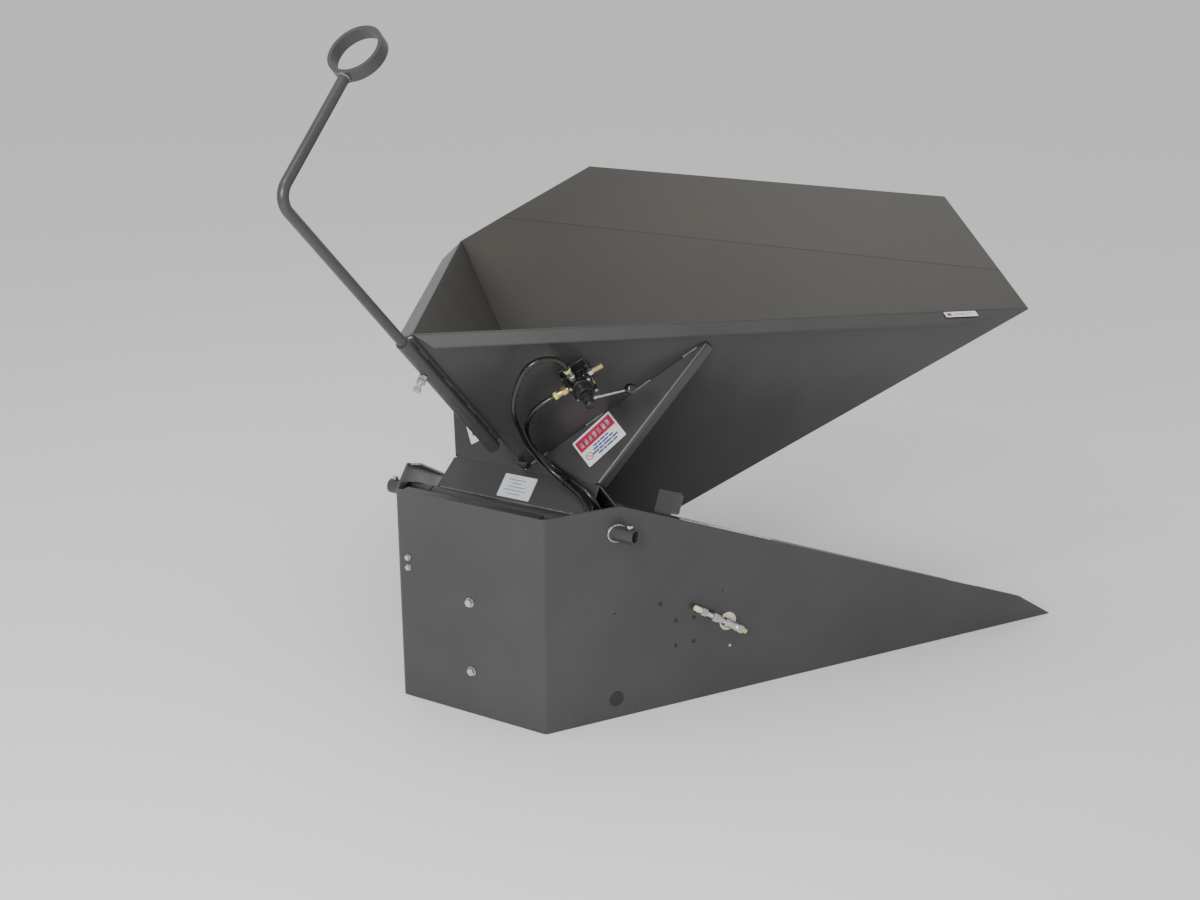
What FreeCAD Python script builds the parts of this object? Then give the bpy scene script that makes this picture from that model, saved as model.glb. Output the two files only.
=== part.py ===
"""Air-operated corner tilter: a square-cornered cradle on a wedge-shaped base.

Frame: origin on the floor below the middle of the tilt axis, +Y towards the
loading side (the wedge tips), +Z up, +X to the right side with the air inlet.
The cradle is drawn in its lowered pose, floor plate level, and then turned
about the tilt axis to the raised rest pose by one placement.
"""
import FreeCAD, Part
import Sketcher
import math
import os
from FreeCAD import Placement, Rotation, Vector

doc = FreeCAD.newDocument("CornerTilter")
sheet = doc.addObject("Spreadsheet::Sheet", "Dimensions")

DIMENSIONS = [
    # base shell
    ("rear_half_width", 190), ("shell_height", 484), ("shell_plate", 5), ("flare_angle", 31),
    ("rear_offset", 146), ("side_length", 1388), ("side_level", 180), ("side_slope_end", 1285),
    ("side_nose_height", 66), ("bend_radius", 12), ("bend_leg", 26), ("top_flange", 32),
    ("rear_flange", 26), ("bottom_plate_front", 60),
    # tilt axis
    ("pivot_height", 426), ("rest_tilt", 45), ("shaft_diameter", 25.4), ("shaft_half_length", 312),
    ("pivot_bore", 25.5), ("pivot_tube_diameter", 38), ("pivot_tube_length", 400),
    ("spacer_length", 56), ("sleeve_diameter", 33.4), ("sleeve_length", 61), ("sleeve_end", 323),
    # cradle
    ("corner_offset", 102), ("cradle_side", 1165), ("cradle_plate", 5), ("wall_plate", 4),
    ("wall_height", 961), ("floor_clearance", 7), ("floor_depth", 1123), ("lip_bend_share", 0.32),
    ("lip_drop", 5), ("rim_width", 38), ("rim_mitre", 40),
    ("deck_top", 430), ("deck_half_rear", 202), ("deck_half_front", 192), ("arm_slope", 11.5),
    ("arm_reach", 358), ("push_plate_foot", 24),
    # ring arm
    ("socket_diameter", 29), ("socket_bore", 21.2), ("socket_low", 571), ("socket_high", 979),
    ("socket_offset", 78), ("rod_diameter", 21), ("rod_bend", 36), ("rod_high", 1432),
    ("rod_low", 592), ("ring_offset", 402), ("ring_diameter", 110), ("ring_bore", 94),
    ("ring_width", 25),
    # air parts
    ("bellows_radius", 98), ("bellows_height", 182), ("bead_plate", 8), ("bead_radius", 80),
    ("stud_pitch", 160), ("valve_along", 217), ("valve_height", 633), ("hose_diameter", 12.7),
    ("label_thickness", 0.4),
]

for row, (alias, value) in enumerate(DIMENSIONS, start=1):
    sheet.set("A%d" % row, alias)
    sheet.set("B%d" % row, str(value))
    sheet.setAlias("B%d" % row, alias)
doc.recompute()

NODES = []


def dim(alias):
    return float(sheet.get(alias))


def sin(degrees):
    return math.sin(math.radians(degrees))


def cos(degrees):
    return math.cos(math.radians(degrees))


PIVOT_Z = dim("pivot_height")
TILT = Placement(Vector(0, 0, 0), Rotation(Vector(1, 0, 0), dim("rest_tilt")), Vector(0, 0, PIVOT_Z))
LEVEL = Placement()
X_AXIS, Y_AXIS, Z_AXIS = Vector(1, 0, 0), Vector(0, 1, 0), Vector(0, 0, 1)


def node(obj, label, pose=LEVEL):
    """Name a finished sub-part and move it to its body's rest pose."""
    obj.Label = label
    if obj.Label != label:
        raise SystemExit("the label %s is taken" % label)
    obj.Placement = pose.multiply(obj.Placement)
    NODES.append(obj)
    return obj


def frame(origin, x_dir, y_dir):
    """Placement whose local X and Y run along the two given directions."""
    x_dir = Vector(x_dir).normalize()
    y_dir = Vector(y_dir).normalize()
    return Placement(Vector(origin), Rotation(x_dir, y_dir, x_dir.cross(y_dir), "XYZ"))


def plane_of(body, role):
    return next(f for f in body.Origin.OriginFeatures if f.Role == role)


def closed_lines(points):
    corners = [Vector(x, y, 0) for x, y in points]
    return [Part.LineSegment(a, b) for a, b in zip(corners, corners[1:] + corners[:1])]


def join_ends(sketch, first, second):
    """Make the two edges' nearest ends coincident."""
    ends = [(i, j) for i in (1, 2) for j in (1, 2)]

    def gap(pair):
        return sketch.getPoint(first, pair[0]).distanceToPoint(sketch.getPoint(second, pair[1]))

    i, j = min(ends, key=gap)
    sketch.addConstraint(Sketcher.Constraint("Coincident", first, i, second, j))


def sheet_body(name, outline, length, place, holes=()):
    """A flat plate: a closed outline with round holes, padded along local +Z.

    outline holds corner points, or ready lines and arcs end to end. length is
    an expression on the Dimensions sheet.
    """
    body = doc.addObject("PartDesign::Body", name + "_body")
    sketch = body.newObject("Sketcher::SketchObject", name + "_sketch")
    sketch.AttachmentSupport = (plane_of(body, "XY_Plane"), [""])
    sketch.MapMode = "FlatFace"
    edges = outline if hasattr(outline[0], "toShape") else closed_lines(outline)
    for edge in edges:
        sketch.addGeometry(edge, False)
    for i in range(len(edges)):
        join_ends(sketch, i, (i + 1) % len(edges))
    for x, y, radius in holes:
        sketch.addGeometry(Part.Circle(Vector(x, y, 0), Z_AXIS, radius), False)
    pad = body.newObject("PartDesign::Pad", name + "_pad")
    pad.Profile = sketch
    pad.setExpression("Length", length)
    sketch.Visibility = False
    body.Placement = place
    return body


def cylinder(name, diameter, length, start, axis):
    """diameter and length are expressions on the Dimensions sheet."""
    solid = doc.addObject("Part::Cylinder", name)
    solid.setExpression("Radius", "(%s) / 2" % diameter)
    solid.setExpression("Height", length)
    solid.Placement = Placement(Vector(start), Rotation(Z_AXIS, Vector(axis)))
    return solid


def box(name, size, corner, place=LEVEL):
    """size is three expressions on the Dimensions sheet."""
    solid = doc.addObject("Part::Box", name)
    for prop, expression in zip(("Length", "Width", "Height"), size):
        solid.setExpression(prop, expression)
    solid.Placement = place.multiply(Placement(Vector(corner), Rotation()))
    return solid


def hex_prism(name, across_flats, length, start, axis):
    solid = doc.addObject("Part::Prism", name)
    solid.Polygon = 6
    solid.setExpression("Circumradius", "%s / sqrt(3)" % across_flats)
    solid.setExpression("Height", length)
    solid.Placement = Placement(Vector(start), Rotation(Z_AXIS, Vector(axis)))
    return solid


def cut(name, base, tool):
    result = doc.addObject("Part::Cut", name)
    result.Base, result.Tool = base, tool
    return result


def fuse(name, shapes):
    result = doc.addObject("Part::MultiFuse", name)
    result.Shapes = shapes
    return result


def twin_of(name, source):
    twin = doc.addObject("Part::Mirroring", name)
    twin.Source = source
    twin.Base, twin.Normal = Vector(0, 0, 0), X_AXIS
    return twin


def mirrored(name, source, label):
    """The left-hand twin of a finished right-hand node."""
    return node(twin_of(name, source), label)


def pair(name, source, label, pose=LEVEL):
    """One node of a right-hand piece and its left-hand twin."""
    return node(fuse(name, [source, twin_of(name + "_twin", source)]), label, pose)


# ---------------------------------------------------------------- base shell

PLATE = dim("shell_plate")
HEIGHT = dim("shell_height")
REAR_Y = -dim("rear_offset")
INNER_REAR_Y = REAR_Y + PLATE
FLARE = dim("flare_angle")
ALONG = Vector(sin(FLARE), cos(FLARE), 0)          # right panel, towards its tip
OUTWARD = Vector(cos(FLARE), -sin(FLARE), 0)       # right panel, away from the cradle
SIDE_ORIGIN = Vector(dim("rear_half_width"), REAR_Y, 0)
SLOPE_RUN = dim("side_slope_end") - dim("side_level")
SLOPE_DROP = HEIGHT - dim("side_nose_height")
SLOPE_LENGTH = math.hypot(SLOPE_RUN, SLOPE_DROP)

# centre of each feature on the right panel: distance along it and height
PANEL_SCREWS = [(314, 199), (359, 197), (314, 140), (359, 141), (275, 246)]
PANEL_HOLES = [(163, 245), (430, 245)]
PANEL_RIVET = (453, 111)
PANEL_PLUG = (169, 45)
PANEL_INLET = (446, 171)
SCREW_RADIUS, SMALL_HOLE_RADIUS, RIVET_RADIUS = 2.4, 2.6, 2.4
PLUG_RADIUS, INLET_RADIUS = 15.5, 16.5

BEAD_BOLT_HEIGHTS = [dim("bellows_height") + side * dim("stud_pitch") / 2 for side in (1, -1)]
BRACKET_X, BRACKET_HEIGHTS = -163, (309, 332)
BEAD_BOLT, BEAD_BLIND, BRACKET_BOLT = 10, 6, 7


def on_panel(along, height, out=0.0):
    """A point of the right panel, out measured from its outer face."""
    return SIDE_ORIGIN + ALONG * along + OUTWARD * out + Z_AXIS * height


def panel_frame(out):
    return frame(SIDE_ORIGIN + OUTWARD * out, ALONG, Z_AXIS)


def bent_rear_profile():
    """Plan outline of the rear sheet: two legs, two bends and the flat."""
    outer, inner = dim("bend_radius"), dim("bend_radius") - PLATE
    setback = outer * math.tan(math.radians((90 - FLARE) / 2))
    corner, leg_end = SIDE_ORIGIN, SIDE_ORIGIN + ALONG * dim("bend_leg")
    centre = corner + Vector(-setback, outer, 0)
    half = Rotation(Z_AXIS, (90 - FLARE) / 2)
    arc_middle = half.multVec(-Y_AXIS)
    right = {
        "leg_out": leg_end, "leg_in": leg_end - OUTWARD * PLATE,
        "out_a": centre + OUTWARD * outer, "out_m": centre + arc_middle * outer,
        "out_b": centre - Y_AXIS * outer,
        "in_a": centre + OUTWARD * inner, "in_m": centre + arc_middle * inner,
        "in_b": centre - Y_AXIS * inner,
    }
    left = {name: Vector(-p.x, p.y, 0) for name, p in right.items()}
    edges = []
    for side, order in ((right, ("out", "in")), (left, ("in", "out"))):
        edges.append(half_profile(side, *order))
    return (edges[0] + [Part.LineSegment(right["in_b"], left["in_b"])] + edges[1]
            + [Part.LineSegment(left["out_b"], right["out_b"])])


def half_profile(p, first, second):
    """One bend: in along the first face, over the leg's end, back on the second."""
    return [
        Part.Arc(p[first + "_b"], p[first + "_m"], p[first + "_a"]),
        Part.LineSegment(p[first + "_a"], p["leg_" + first]),
        Part.LineSegment(p["leg_" + first], p["leg_" + second]),
        Part.LineSegment(p["leg_" + second], p[second + "_a"]),
        Part.Arc(p[second + "_a"], p[second + "_m"], p[second + "_b"]),
    ]


def rear_panel():
    blank = sheet_body("rear_sheet", bent_rear_profile(), "Dimensions.shell_height", LEVEL)
    drills = [
        cylinder("bead_drill_%d" % i, str(BEAD_BOLT), "20", (0, REAR_Y - 5, height), Y_AXIS)
        for i, height in enumerate(BEAD_BOLT_HEIGHTS)
    ] + [
        cylinder("bracket_drill_%d" % i, str(BRACKET_BOLT), "20",
                 (BRACKET_X, REAR_Y - 5, height), Y_AXIS)
        for i, height in enumerate(BRACKET_HEIGHTS)
    ]
    node(cut("rear_panel_cut", blank, fuse("rear_drills", drills)), "base_rear_panel")


def rear_flange():
    """The stiffening lip folded inwards along the rear panel's top."""
    half = 176
    node(box("rear_flange", (str(2 * half), "Dimensions.rear_flange - Dimensions.shell_plate",
                             "Dimensions.shell_plate"), (-half, INNER_REAR_Y, HEIGHT - PLATE)),
         "base_rear_flange")


def side_outline():
    leg = dim("bend_leg")
    return [(leg, 0), (dim("side_length"), 0), (dim("side_slope_end"), dim("side_nose_height")),
            (dim("side_level"), HEIGHT), (leg, HEIGHT)]


def sleeve_drill(name):
    return cylinder(name, "Dimensions.sleeve_diameter", "120", (220, 0, PIVOT_Z), X_AXIS)


def side_panels():
    """Both wedge-shaped sides. Only the right one is drilled for the air inlet."""
    holes = [(x, y, SCREW_RADIUS) for x, y in PANEL_SCREWS]
    holes += [(x, y, SMALL_HOLE_RADIUS) for x, y in PANEL_HOLES]
    holes += [PANEL_RIVET + (RIVET_RADIUS,), PANEL_PLUG + (PLUG_RADIUS,), PANEL_INLET + (INLET_RADIUS,)]
    drilled = sheet_body("side_sheet", side_outline(), "Dimensions.shell_plate", panel_frame(-PLATE), holes)
    node(cut("side_right_cut", drilled, sleeve_drill("sleeve_drill_right")), "base_side_right")
    plain = sheet_body("side_plain", side_outline(), "Dimensions.shell_plate", panel_frame(-PLATE))
    blank = cut("side_left_cut", plain, sleeve_drill("sleeve_drill_left"))
    mirrored("side_left", blank, "base_side_left")


def slope_frame(depth):
    """Local X down the slope, Y inwards, Z off the flange; depth is below its top."""
    slope = (ALONG * SLOPE_RUN - Z_AXIS * SLOPE_DROP).normalize()
    up = slope.cross(-OUTWARD)
    top = on_panel(dim("side_level"), HEIGHT)
    return frame(top - up * depth, slope, -OUTWARD)


def side_flanges():
    """The lips folded inwards along both slopes; they run out towards the nose."""
    start, end, tail = 8, SLOPE_LENGTH - 16, 1.5
    outline = [(start, PLATE), (end, PLATE), (end, PLATE + tail), (start, dim("top_flange"))]
    right = sheet_body("side_flange", outline, "Dimensions.shell_plate", slope_frame(PLATE))
    node(right, "base_flange_right")
    mirrored("side_flange_left", right, "base_flange_left")


def inner_side_x(y):
    """Inner face of the right panel at a station y."""
    return dim("rear_half_width") + (y - REAR_Y) * math.tan(math.radians(FLARE)) - PLATE / cos(FLARE)


def bottom_plate():
    gap, bend_clear = 0.3, 11
    rear, front = INNER_REAR_Y, dim("bottom_plate_front")
    right = [(inner_side_x(rear + bend_clear) - bend_clear, rear),
             (inner_side_x(rear + bend_clear) - gap, rear + bend_clear),
             (inner_side_x(front) - gap, front)]
    outline = right + [(-x, y) for x, y in reversed(right)]
    node(sheet_body("bottom_sheet", outline, "Dimensions.shell_plate", LEVEL), "base_bottom_plate")


def side_tab():
    """The upstand welded to the inside of the right flange, leaning forwards."""
    lean, width, height, thickness, notch = 62, 60, 88, 4, 5
    flange_edge, flange_over = 42, 42
    foot = Vector(285, 126, 398)
    place = frame(foot, X_AXIS, Vector(0, cos(lean), sin(lean)))
    outline = [(0, 0), (flange_edge, 0), (flange_edge, flange_over), (width, flange_over),
               (width, height - notch), (width - notch, height - notch), (width - notch, height), (0, height)]
    node(sheet_body("side_tab_sheet", outline, str(thickness), place), "base_side_tab")


# ------------------------------------------------------------------ fasteners

def hex_bolt(name, size, start, axis, shank, washer=None, head=None):
    """A hex bolt whose head bears at start; axis is the way its head faces."""
    axis = Vector(axis).normalize()
    start = Vector(start)
    head = head or 0.65 * size
    washer_thickness = 2 if washer else 0
    pieces = [cylinder(name + "_shank", str(size), str(shank), start - axis * shank, axis),
              hex_prism(name + "_head", "%s" % (1.5 * size), str(head),
                        start + axis * washer_thickness, axis)]
    if washer:
        pieces.append(cylinder(name + "_washer", str(washer), str(washer_thickness), start, axis))
    return pieces


def rear_parts():
    """The rear panel's bolts, and the small angle bolted inside its left edge."""
    size, thickness, leg = (40, 4, 56), 4, 30
    corner = Vector(BRACKET_X - 20, INNER_REAR_Y, BRACKET_HEIGHTS[0] - 16)
    flat = box("bracket_flat", [str(v) for v in size], corner)
    web = box("bracket_web", (str(thickness), str(leg), str(size[2])),
              corner + Vector(size[0] - thickness, thickness, 0))
    drills = fuse("bracket_holes", [
        cylinder("bracket_hole_%d" % i, str(BRACKET_BOLT), "20",
                 (BRACKET_X, INNER_REAR_Y - 5, height), Y_AXIS)
        for i, height in enumerate(BRACKET_HEIGHTS)])
    node(cut("bracket_cut", fuse("bracket_fuse", [flat, web]), drills), "inner_bracket")
    pieces = []
    for i, height in enumerate(BEAD_BOLT_HEIGHTS):
        pieces += hex_bolt("bead_bolt_%d" % i, BEAD_BOLT, (0, REAR_Y, height), -Y_AXIS,
                           PLATE + BEAD_BLIND, 21)
    for i, height in enumerate(BRACKET_HEIGHTS):
        pieces += hex_bolt("bracket_bolt_%d" % i, BRACKET_BOLT, (BRACKET_X, REAR_Y, height), -Y_AXIS,
                           PLATE + thickness, 14)
    node(fuse("rear_bolts_fuse", pieces), "rear_bolts")


def panel_fasteners():
    """Pan-head screws, the rivet and the round plug in the right panel."""
    pieces = []
    for i, (along, height) in enumerate(PANEL_SCREWS):
        start = on_panel(along, height, -PLATE)
        pieces.append(cylinder("screw_%d" % i, str(2 * SCREW_RADIUS), str(PLATE), start, OUTWARD))
        pieces.append(cylinder("screw_head_%d" % i, "8", "2.4", on_panel(along, height), OUTWARD))
    pieces += [cylinder("rivet_body", str(2 * RIVET_RADIUS), str(PLATE), on_panel(*PANEL_RIVET, -PLATE),
                        OUTWARD),
               cylinder("rivet_head", "7", "1.2", on_panel(*PANEL_RIVET), OUTWARD)]
    node(fuse("panel_screws_fuse", pieces), "panel_screws")
    plug = [cylinder("plug_body", str(2 * PLUG_RADIUS), str(PLATE + 3),
                     on_panel(*PANEL_PLUG, -PLATE - 3), OUTWARD),
            cylinder("plug_cap", "34", "2", on_panel(*PANEL_PLUG), OUTWARD)]
    node(fuse("plug_fuse", plug), "panel_plug")


# ------------------------------------------------------------------ tilt axis

def tube(name, outer, bore, length, start, axis):
    """outer, bore and length are expressions on the Dimensions sheet."""
    over = 2
    start, axis = Vector(start), Vector(axis).normalize()
    return cut(name, cylinder(name + "_outer", outer, length, start, axis),
               cylinder(name + "_bore", bore, "%s + %d" % (length, 2 * over), start - axis * over, axis))


def tilt_axis():
    half = dim("shaft_half_length")
    node(cylinder("shaft", "Dimensions.shaft_diameter", "2 * Dimensions.shaft_half_length",
                  (-half, 0, PIVOT_Z), X_AXIS), "pivot_shaft")
    spacer = tube("spacer", "Dimensions.pivot_tube_diameter", "Dimensions.pivot_bore",
                  "Dimensions.spacer_length", (dim("pivot_tube_length") / 2 + 3, 0, PIVOT_Z), X_AXIS)
    pair("spacer_pair", spacer, "pivot_spacers")
    sleeve = tube("sleeve", "Dimensions.sleeve_diameter", "Dimensions.pivot_bore", "Dimensions.sleeve_length",
                  (dim("sleeve_end") - dim("sleeve_length"), 0, PIVOT_Z), X_AXIS)
    screw_x, screw_size = dim("sleeve_end") - 13, 8
    tap = cylinder("set_screw_tap", str(screw_size), "30", (screw_x, 0, PIVOT_Z), Z_AXIS)
    sleeve = cut("sleeve_tapped", sleeve, tap)
    node(sleeve, "pivot_sleeve_right")
    mirrored("sleeve_left", sleeve, "pivot_sleeve_left")
    top = PIVOT_Z + dim("sleeve_diameter") / 2 + 1.5
    screw = fuse("set_screw", hex_bolt("set_screw", screw_size, (screw_x, 0, top), Z_AXIS,
                                       top - PIVOT_Z - dim("pivot_bore") / 2))
    pair("set_screw_pair", screw, "set_screws")


def moving_tube():
    half = dim("pivot_tube_length") / 2
    nipple_seat = 2
    node(tube("pivot_tube_hub", "Dimensions.pivot_tube_diameter", "Dimensions.pivot_bore",
              "Dimensions.pivot_tube_length", (-half, 0, PIVOT_Z), X_AXIS), "pivot_tube", TILT)
    direction = Vector(0, -sin(45), cos(45))
    surface = Vector(-12, 0, PIVOT_Z) + direction * (dim("pivot_tube_diameter") / 2)
    pieces = [cylinder("nipple_hex", "8", "4", surface, direction),
              cylinder("nipple_stem", "5", "9", surface + direction * nipple_seat, direction)]
    node(fuse("nipple_fuse", pieces), "grease_nipple")


# -------------------------------------------------------------------- cradle

ROOT_HALF = math.sqrt(0.5)
WALL = dim("wall_plate")
SHEET = dim("cradle_plate")
CORNER = Vector(0, dim("corner_offset"), 0)
WALL_ALONG = Vector(ROOT_HALF, ROOT_HALF, 0)        # right wall, away from the corner
WALL_OUT = Vector(ROOT_HALF, -ROOT_HALF, 0)
FLOOR_Z = dim("floor_clearance")
FLOOR_TOP = FLOOR_Z + SHEET
WALL_TOP = FLOOR_Z + dim("wall_height")
SIDE = dim("cradle_side")
SIDE_CORNER = CORNER + WALL_ALONG * SIDE
FRONT_Y = CORNER.y + dim("floor_depth")
FRONT_HALF = SIDE_CORNER.x + SIDE_CORNER.y - FRONT_Y
BEND_Y = SIDE_CORNER.y + dim("lip_bend_share") * (FRONT_Y - SIDE_CORNER.y)
BEND_HALF = SIDE_CORNER.x + SIDE_CORNER.y - BEND_Y
RIM_DROP = WALL_TOP - FLOOR_TOP
RIM_LENGTH = math.hypot(SIDE, RIM_DROP)


def symmetric(right):
    """Close an outline given as its right half, rear to front."""
    return right + [(-x, y) for x, y in reversed(right) if x > 0]


def cradle_floor():
    """Square floor with its front corner cut off and the front edge bent down."""
    inset = WALL * ROOT_HALF
    outline = symmetric([(0, CORNER.y + 2 * inset), (SIDE_CORNER.x - inset, SIDE_CORNER.y + inset),
                         (BEND_HALF, BEND_Y)])
    node(sheet_body("floor_sheet", outline, "Dimensions.cradle_plate",
                    Placement(Vector(0, 0, FLOOR_Z), Rotation())), "cradle_floor", TILT)
    run, drop = FRONT_Y - BEND_Y, dim("lip_drop")
    lip = symmetric([(BEND_HALF, 0), (FRONT_HALF, math.hypot(run, drop))])
    place = frame(Vector(0, BEND_Y, FLOOR_Z), X_AXIS, Vector(0, run, -drop))
    node(sheet_body("lip_sheet", lip, "Dimensions.cradle_plate", place), "cradle_ramp_lip", TILT)


def wall_frame(along, height, out):
    return frame(CORNER + WALL_ALONG * along + WALL_OUT * out + Z_AXIS * height, WALL_ALONG, Z_AXIS)


def cradle_walls():
    outline = [(WALL, FLOOR_Z), (SIDE, FLOOR_Z), (SIDE, FLOOR_TOP),
               (WALL, WALL_TOP - RIM_DROP * WALL / SIDE)]
    wall = sheet_body("wall_sheet", outline, "Dimensions.wall_plate", wall_frame(0, 0, -WALL))
    node(wall, "cradle_wall_right", TILT)
    mirrored("wall_left", wall, "cradle_wall_left")
    corner = box("corner_bar", ("Dimensions.wall_plate", "Dimensions.wall_height", "Dimensions.wall_plate"),
                 (0, 0, 0), wall_frame(0, FLOOR_Z, -WALL))
    node(corner, "cradle_corner_bar", TILT)


def rim_frame(raised=0.0):
    """Local X down the right rim, Y outwards, Z into the flange."""
    down = (WALL_ALONG * SIDE - Z_AXIS * RIM_DROP).normalize()
    return frame(CORNER + Z_AXIS * WALL_TOP - down.cross(WALL_OUT) * raised, down, WALL_OUT)


def rim_flanges():
    width, chamfer_start, chamfer_end, rear_gap = dim("rim_width"), 0.845, 0.975, 8
    outline = [(rear_gap, 0), (RIM_LENGTH * chamfer_end, 0), (RIM_LENGTH * chamfer_start, width),
               (dim("rim_mitre"), width)]
    rim = sheet_body("rim_sheet", outline, "Dimensions.wall_plate", rim_frame())
    node(rim, "cradle_rim_right", TILT)
    mirrored("rim_left", rim, "cradle_rim_left")


DECK_TOP = dim("deck_top")
DECK_FRONT = CORNER.y - SHEET
ARM_SLOPE = dim("arm_slope")


PUSH_HALF = 190
PUSH_BOLT_X = (-50, 50)
FOLD_RADIUS, FOLD_LEG = 8, 30


def deck_and_push_plate():
    """Deck from the tilt tube to the corner, and the plate the bellows pushes."""
    tube_side = dim("pivot_tube_diameter") / 2
    outline = symmetric([(dim("deck_half_rear"), tube_side), (dim("deck_half_front"), DECK_FRONT)])
    node(sheet_body("deck_sheet", outline, "Dimensions.cradle_plate",
                    Placement(Vector(0, 0, DECK_TOP - SHEET), Rotation())), "cradle_deck", TILT)
    plate = box("push_sheet", (str(2 * PUSH_HALF), "Dimensions.cradle_plate",
                               "Dimensions.deck_top - Dimensions.cradle_plate - Dimensions.push_plate_foot"),
                (-PUSH_HALF, DECK_FRONT, dim("push_plate_foot")))
    drills = fuse("push_drills", [
        cylinder("push_drill_%d" % i, str(BEAD_BOLT), "30",
                 (x, DECK_FRONT - 10, dim("bellows_height")), Y_AXIS)
        for i, x in enumerate(PUSH_BOLT_X)])
    node(cut("push_plate_cut", plate, drills), "cradle_push_plate", TILT)


def arm_frame(depth):
    """Local X to the right, Y up the arm's slope, Z off its face."""
    rise = Vector(0, cos(ARM_SLOPE), sin(ARM_SLOPE))
    return frame(Vector(0, DECK_FRONT, DECK_TOP) - X_AXIS.cross(rise) * depth, X_AXIS, rise)


def arms():
    """The two sloping gussets from the deck to the walls, outer edges folded down."""
    seam, tip_cut, fold_cut = 1.2, 21, 28
    root = Vector(dim("deck_half_front"), 0, 0)
    tip = Vector(dim("arm_reach"), (dim("arm_reach") + CORNER.y - DECK_FRONT) / cos(ARM_SLOPE), 0)
    edge = (tip - root).normalize()

    def at_wall(x):
        return (x, (x - seam + CORNER.y - DECK_FRONT) / cos(ARM_SLOPE))

    def at_fold(y):
        return (root.x + (y * edge.x - FOLD_RADIUS) / edge.y, y)

    end = tip.y - tip_cut
    outline = [(seam, 0), at_fold(0), at_fold(end),
               (end * cos(ARM_SLOPE) + seam - CORNER.y + DECK_FRONT, end), at_wall(2 * seam)]
    plate = sheet_body("arm_sheet", outline, "Dimensions.wall_plate", arm_frame(WALL))
    arm = fuse("arm", [plate, arm_fold(root, edge, (tip - root).Length - fold_cut)])
    node(arm, "cradle_arm_right", TILT)
    mirrored("arm_left", arm, "cradle_arm_left")


def arm_fold(root, edge, length):
    """The rounded edge: profile X inwards, Y off the arm's face, padded up the edge."""
    r, t, leg, root_end = FOLD_RADIUS, WALL, FOLD_LEG, 4
    outer, inner = r * ROOT_HALF, (r - t) * ROOT_HALF
    middle_out, middle_in = Vector(r - outer, outer - r, 0), Vector(r - inner, inner - r, 0)
    corners = [Vector(x, y, 0) for x, y in ((r, 0), (0, -r), (0, -leg), (t, -leg), (t, -r), (r, -t))]
    edges = [
        Part.Arc(corners[0], middle_out, corners[1]), Part.LineSegment(corners[1], corners[2]),
        Part.LineSegment(corners[2], corners[3]), Part.LineSegment(corners[3], corners[4]),
        Part.Arc(corners[4], middle_in, corners[5]), Part.LineSegment(corners[5], corners[0]),
    ]
    face = arm_frame(0)
    turn = face.Rotation
    inward = Z_AXIS.cross(edge)
    place = frame(face.multVec(root + edge * root_end), turn.multVec(inward), turn.multVec(Z_AXIS))
    return sheet_body("arm_fold", edges, str(length), place)


def notch_gusset():
    """The small triangle across the corner above the deck."""
    half, height, thickness = 20, 36, 4
    place = frame(CORNER + Z_AXIS * DECK_TOP, X_AXIS, Z_AXIS)
    node(sheet_body("gusset_sheet", [(0, 0), (half, height), (-half, height)], str(thickness), place),
         "cradle_notch_gusset", TILT)


# ------------------------------------------------------------------ ring arm

SOCKET = Vector(0, dim("socket_offset"), 0)
CLAMP_HEIGHT = 878
CLAMP_THREAD = 10


def clamp_drill(name, diameter):
    return cylinder(name, str(diameter), "60", SOCKET + Z_AXIS * CLAMP_HEIGHT, -Y_AXIS)


def ring_socket():
    """The tube welded behind the corner, its strip and the clamp screw's nut."""
    low, length = dim("socket_low"), "Dimensions.socket_high - Dimensions.socket_low"
    plain = tube("socket", "Dimensions.socket_diameter", "Dimensions.socket_bore", length,
                 SOCKET + Z_AXIS * low, Z_AXIS)
    node(cut("socket_tapped", plain, clamp_drill("socket_drill", CLAMP_THREAD)), "ring_arm_socket", TILT)
    tube_front, strip_half, strip_low, strip_high = SOCKET.y + dim("socket_diameter") / 2, 5, 575, 960
    node(box("socket_strip", (str(2 * strip_half), str(CORNER.y - tube_front), str(strip_high - strip_low)),
             (-strip_half, tube_front, strip_low)), "socket_strip", TILT)
    seat = SOCKET.y - dim("socket_diameter") / 2
    nut = hex_prism("clamp_nut_blank", "17", "9", (0, seat, CLAMP_HEIGHT), -Y_AXIS)
    node(cut("clamp_nut_tapped", nut, clamp_drill("clamp_nut_drill", CLAMP_THREAD)), "clamp_nut", TILT)


def clamp_bolt():
    """Screw, jam nut and head; its point presses on the rod."""
    play, head_length, jam_length, jam_gap = 0.05, 8, 7, 1.5
    point = SOCKET.y - dim("rod_diameter") / 2 - 0.3
    nut_face = SOCKET.y - dim("socket_diameter") / 2 - 9
    head_seat = nut_face - jam_gap - jam_length - 10
    length = point - head_seat
    pieces = [
        cylinder("clamp_shank", str(CLAMP_THREAD - 2 * play), str(length), (0, point, CLAMP_HEIGHT), -Y_AXIS),
        hex_prism("jam_nut", "17", str(jam_length), (0, nut_face - jam_gap, CLAMP_HEIGHT), -Y_AXIS),
        hex_prism("clamp_head", "15", str(head_length), (0, head_seat, CLAMP_HEIGHT), -Y_AXIS),
    ]
    node(fuse("clamp_bolt_fuse", pieces), "clamp_bolt", TILT)


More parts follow.
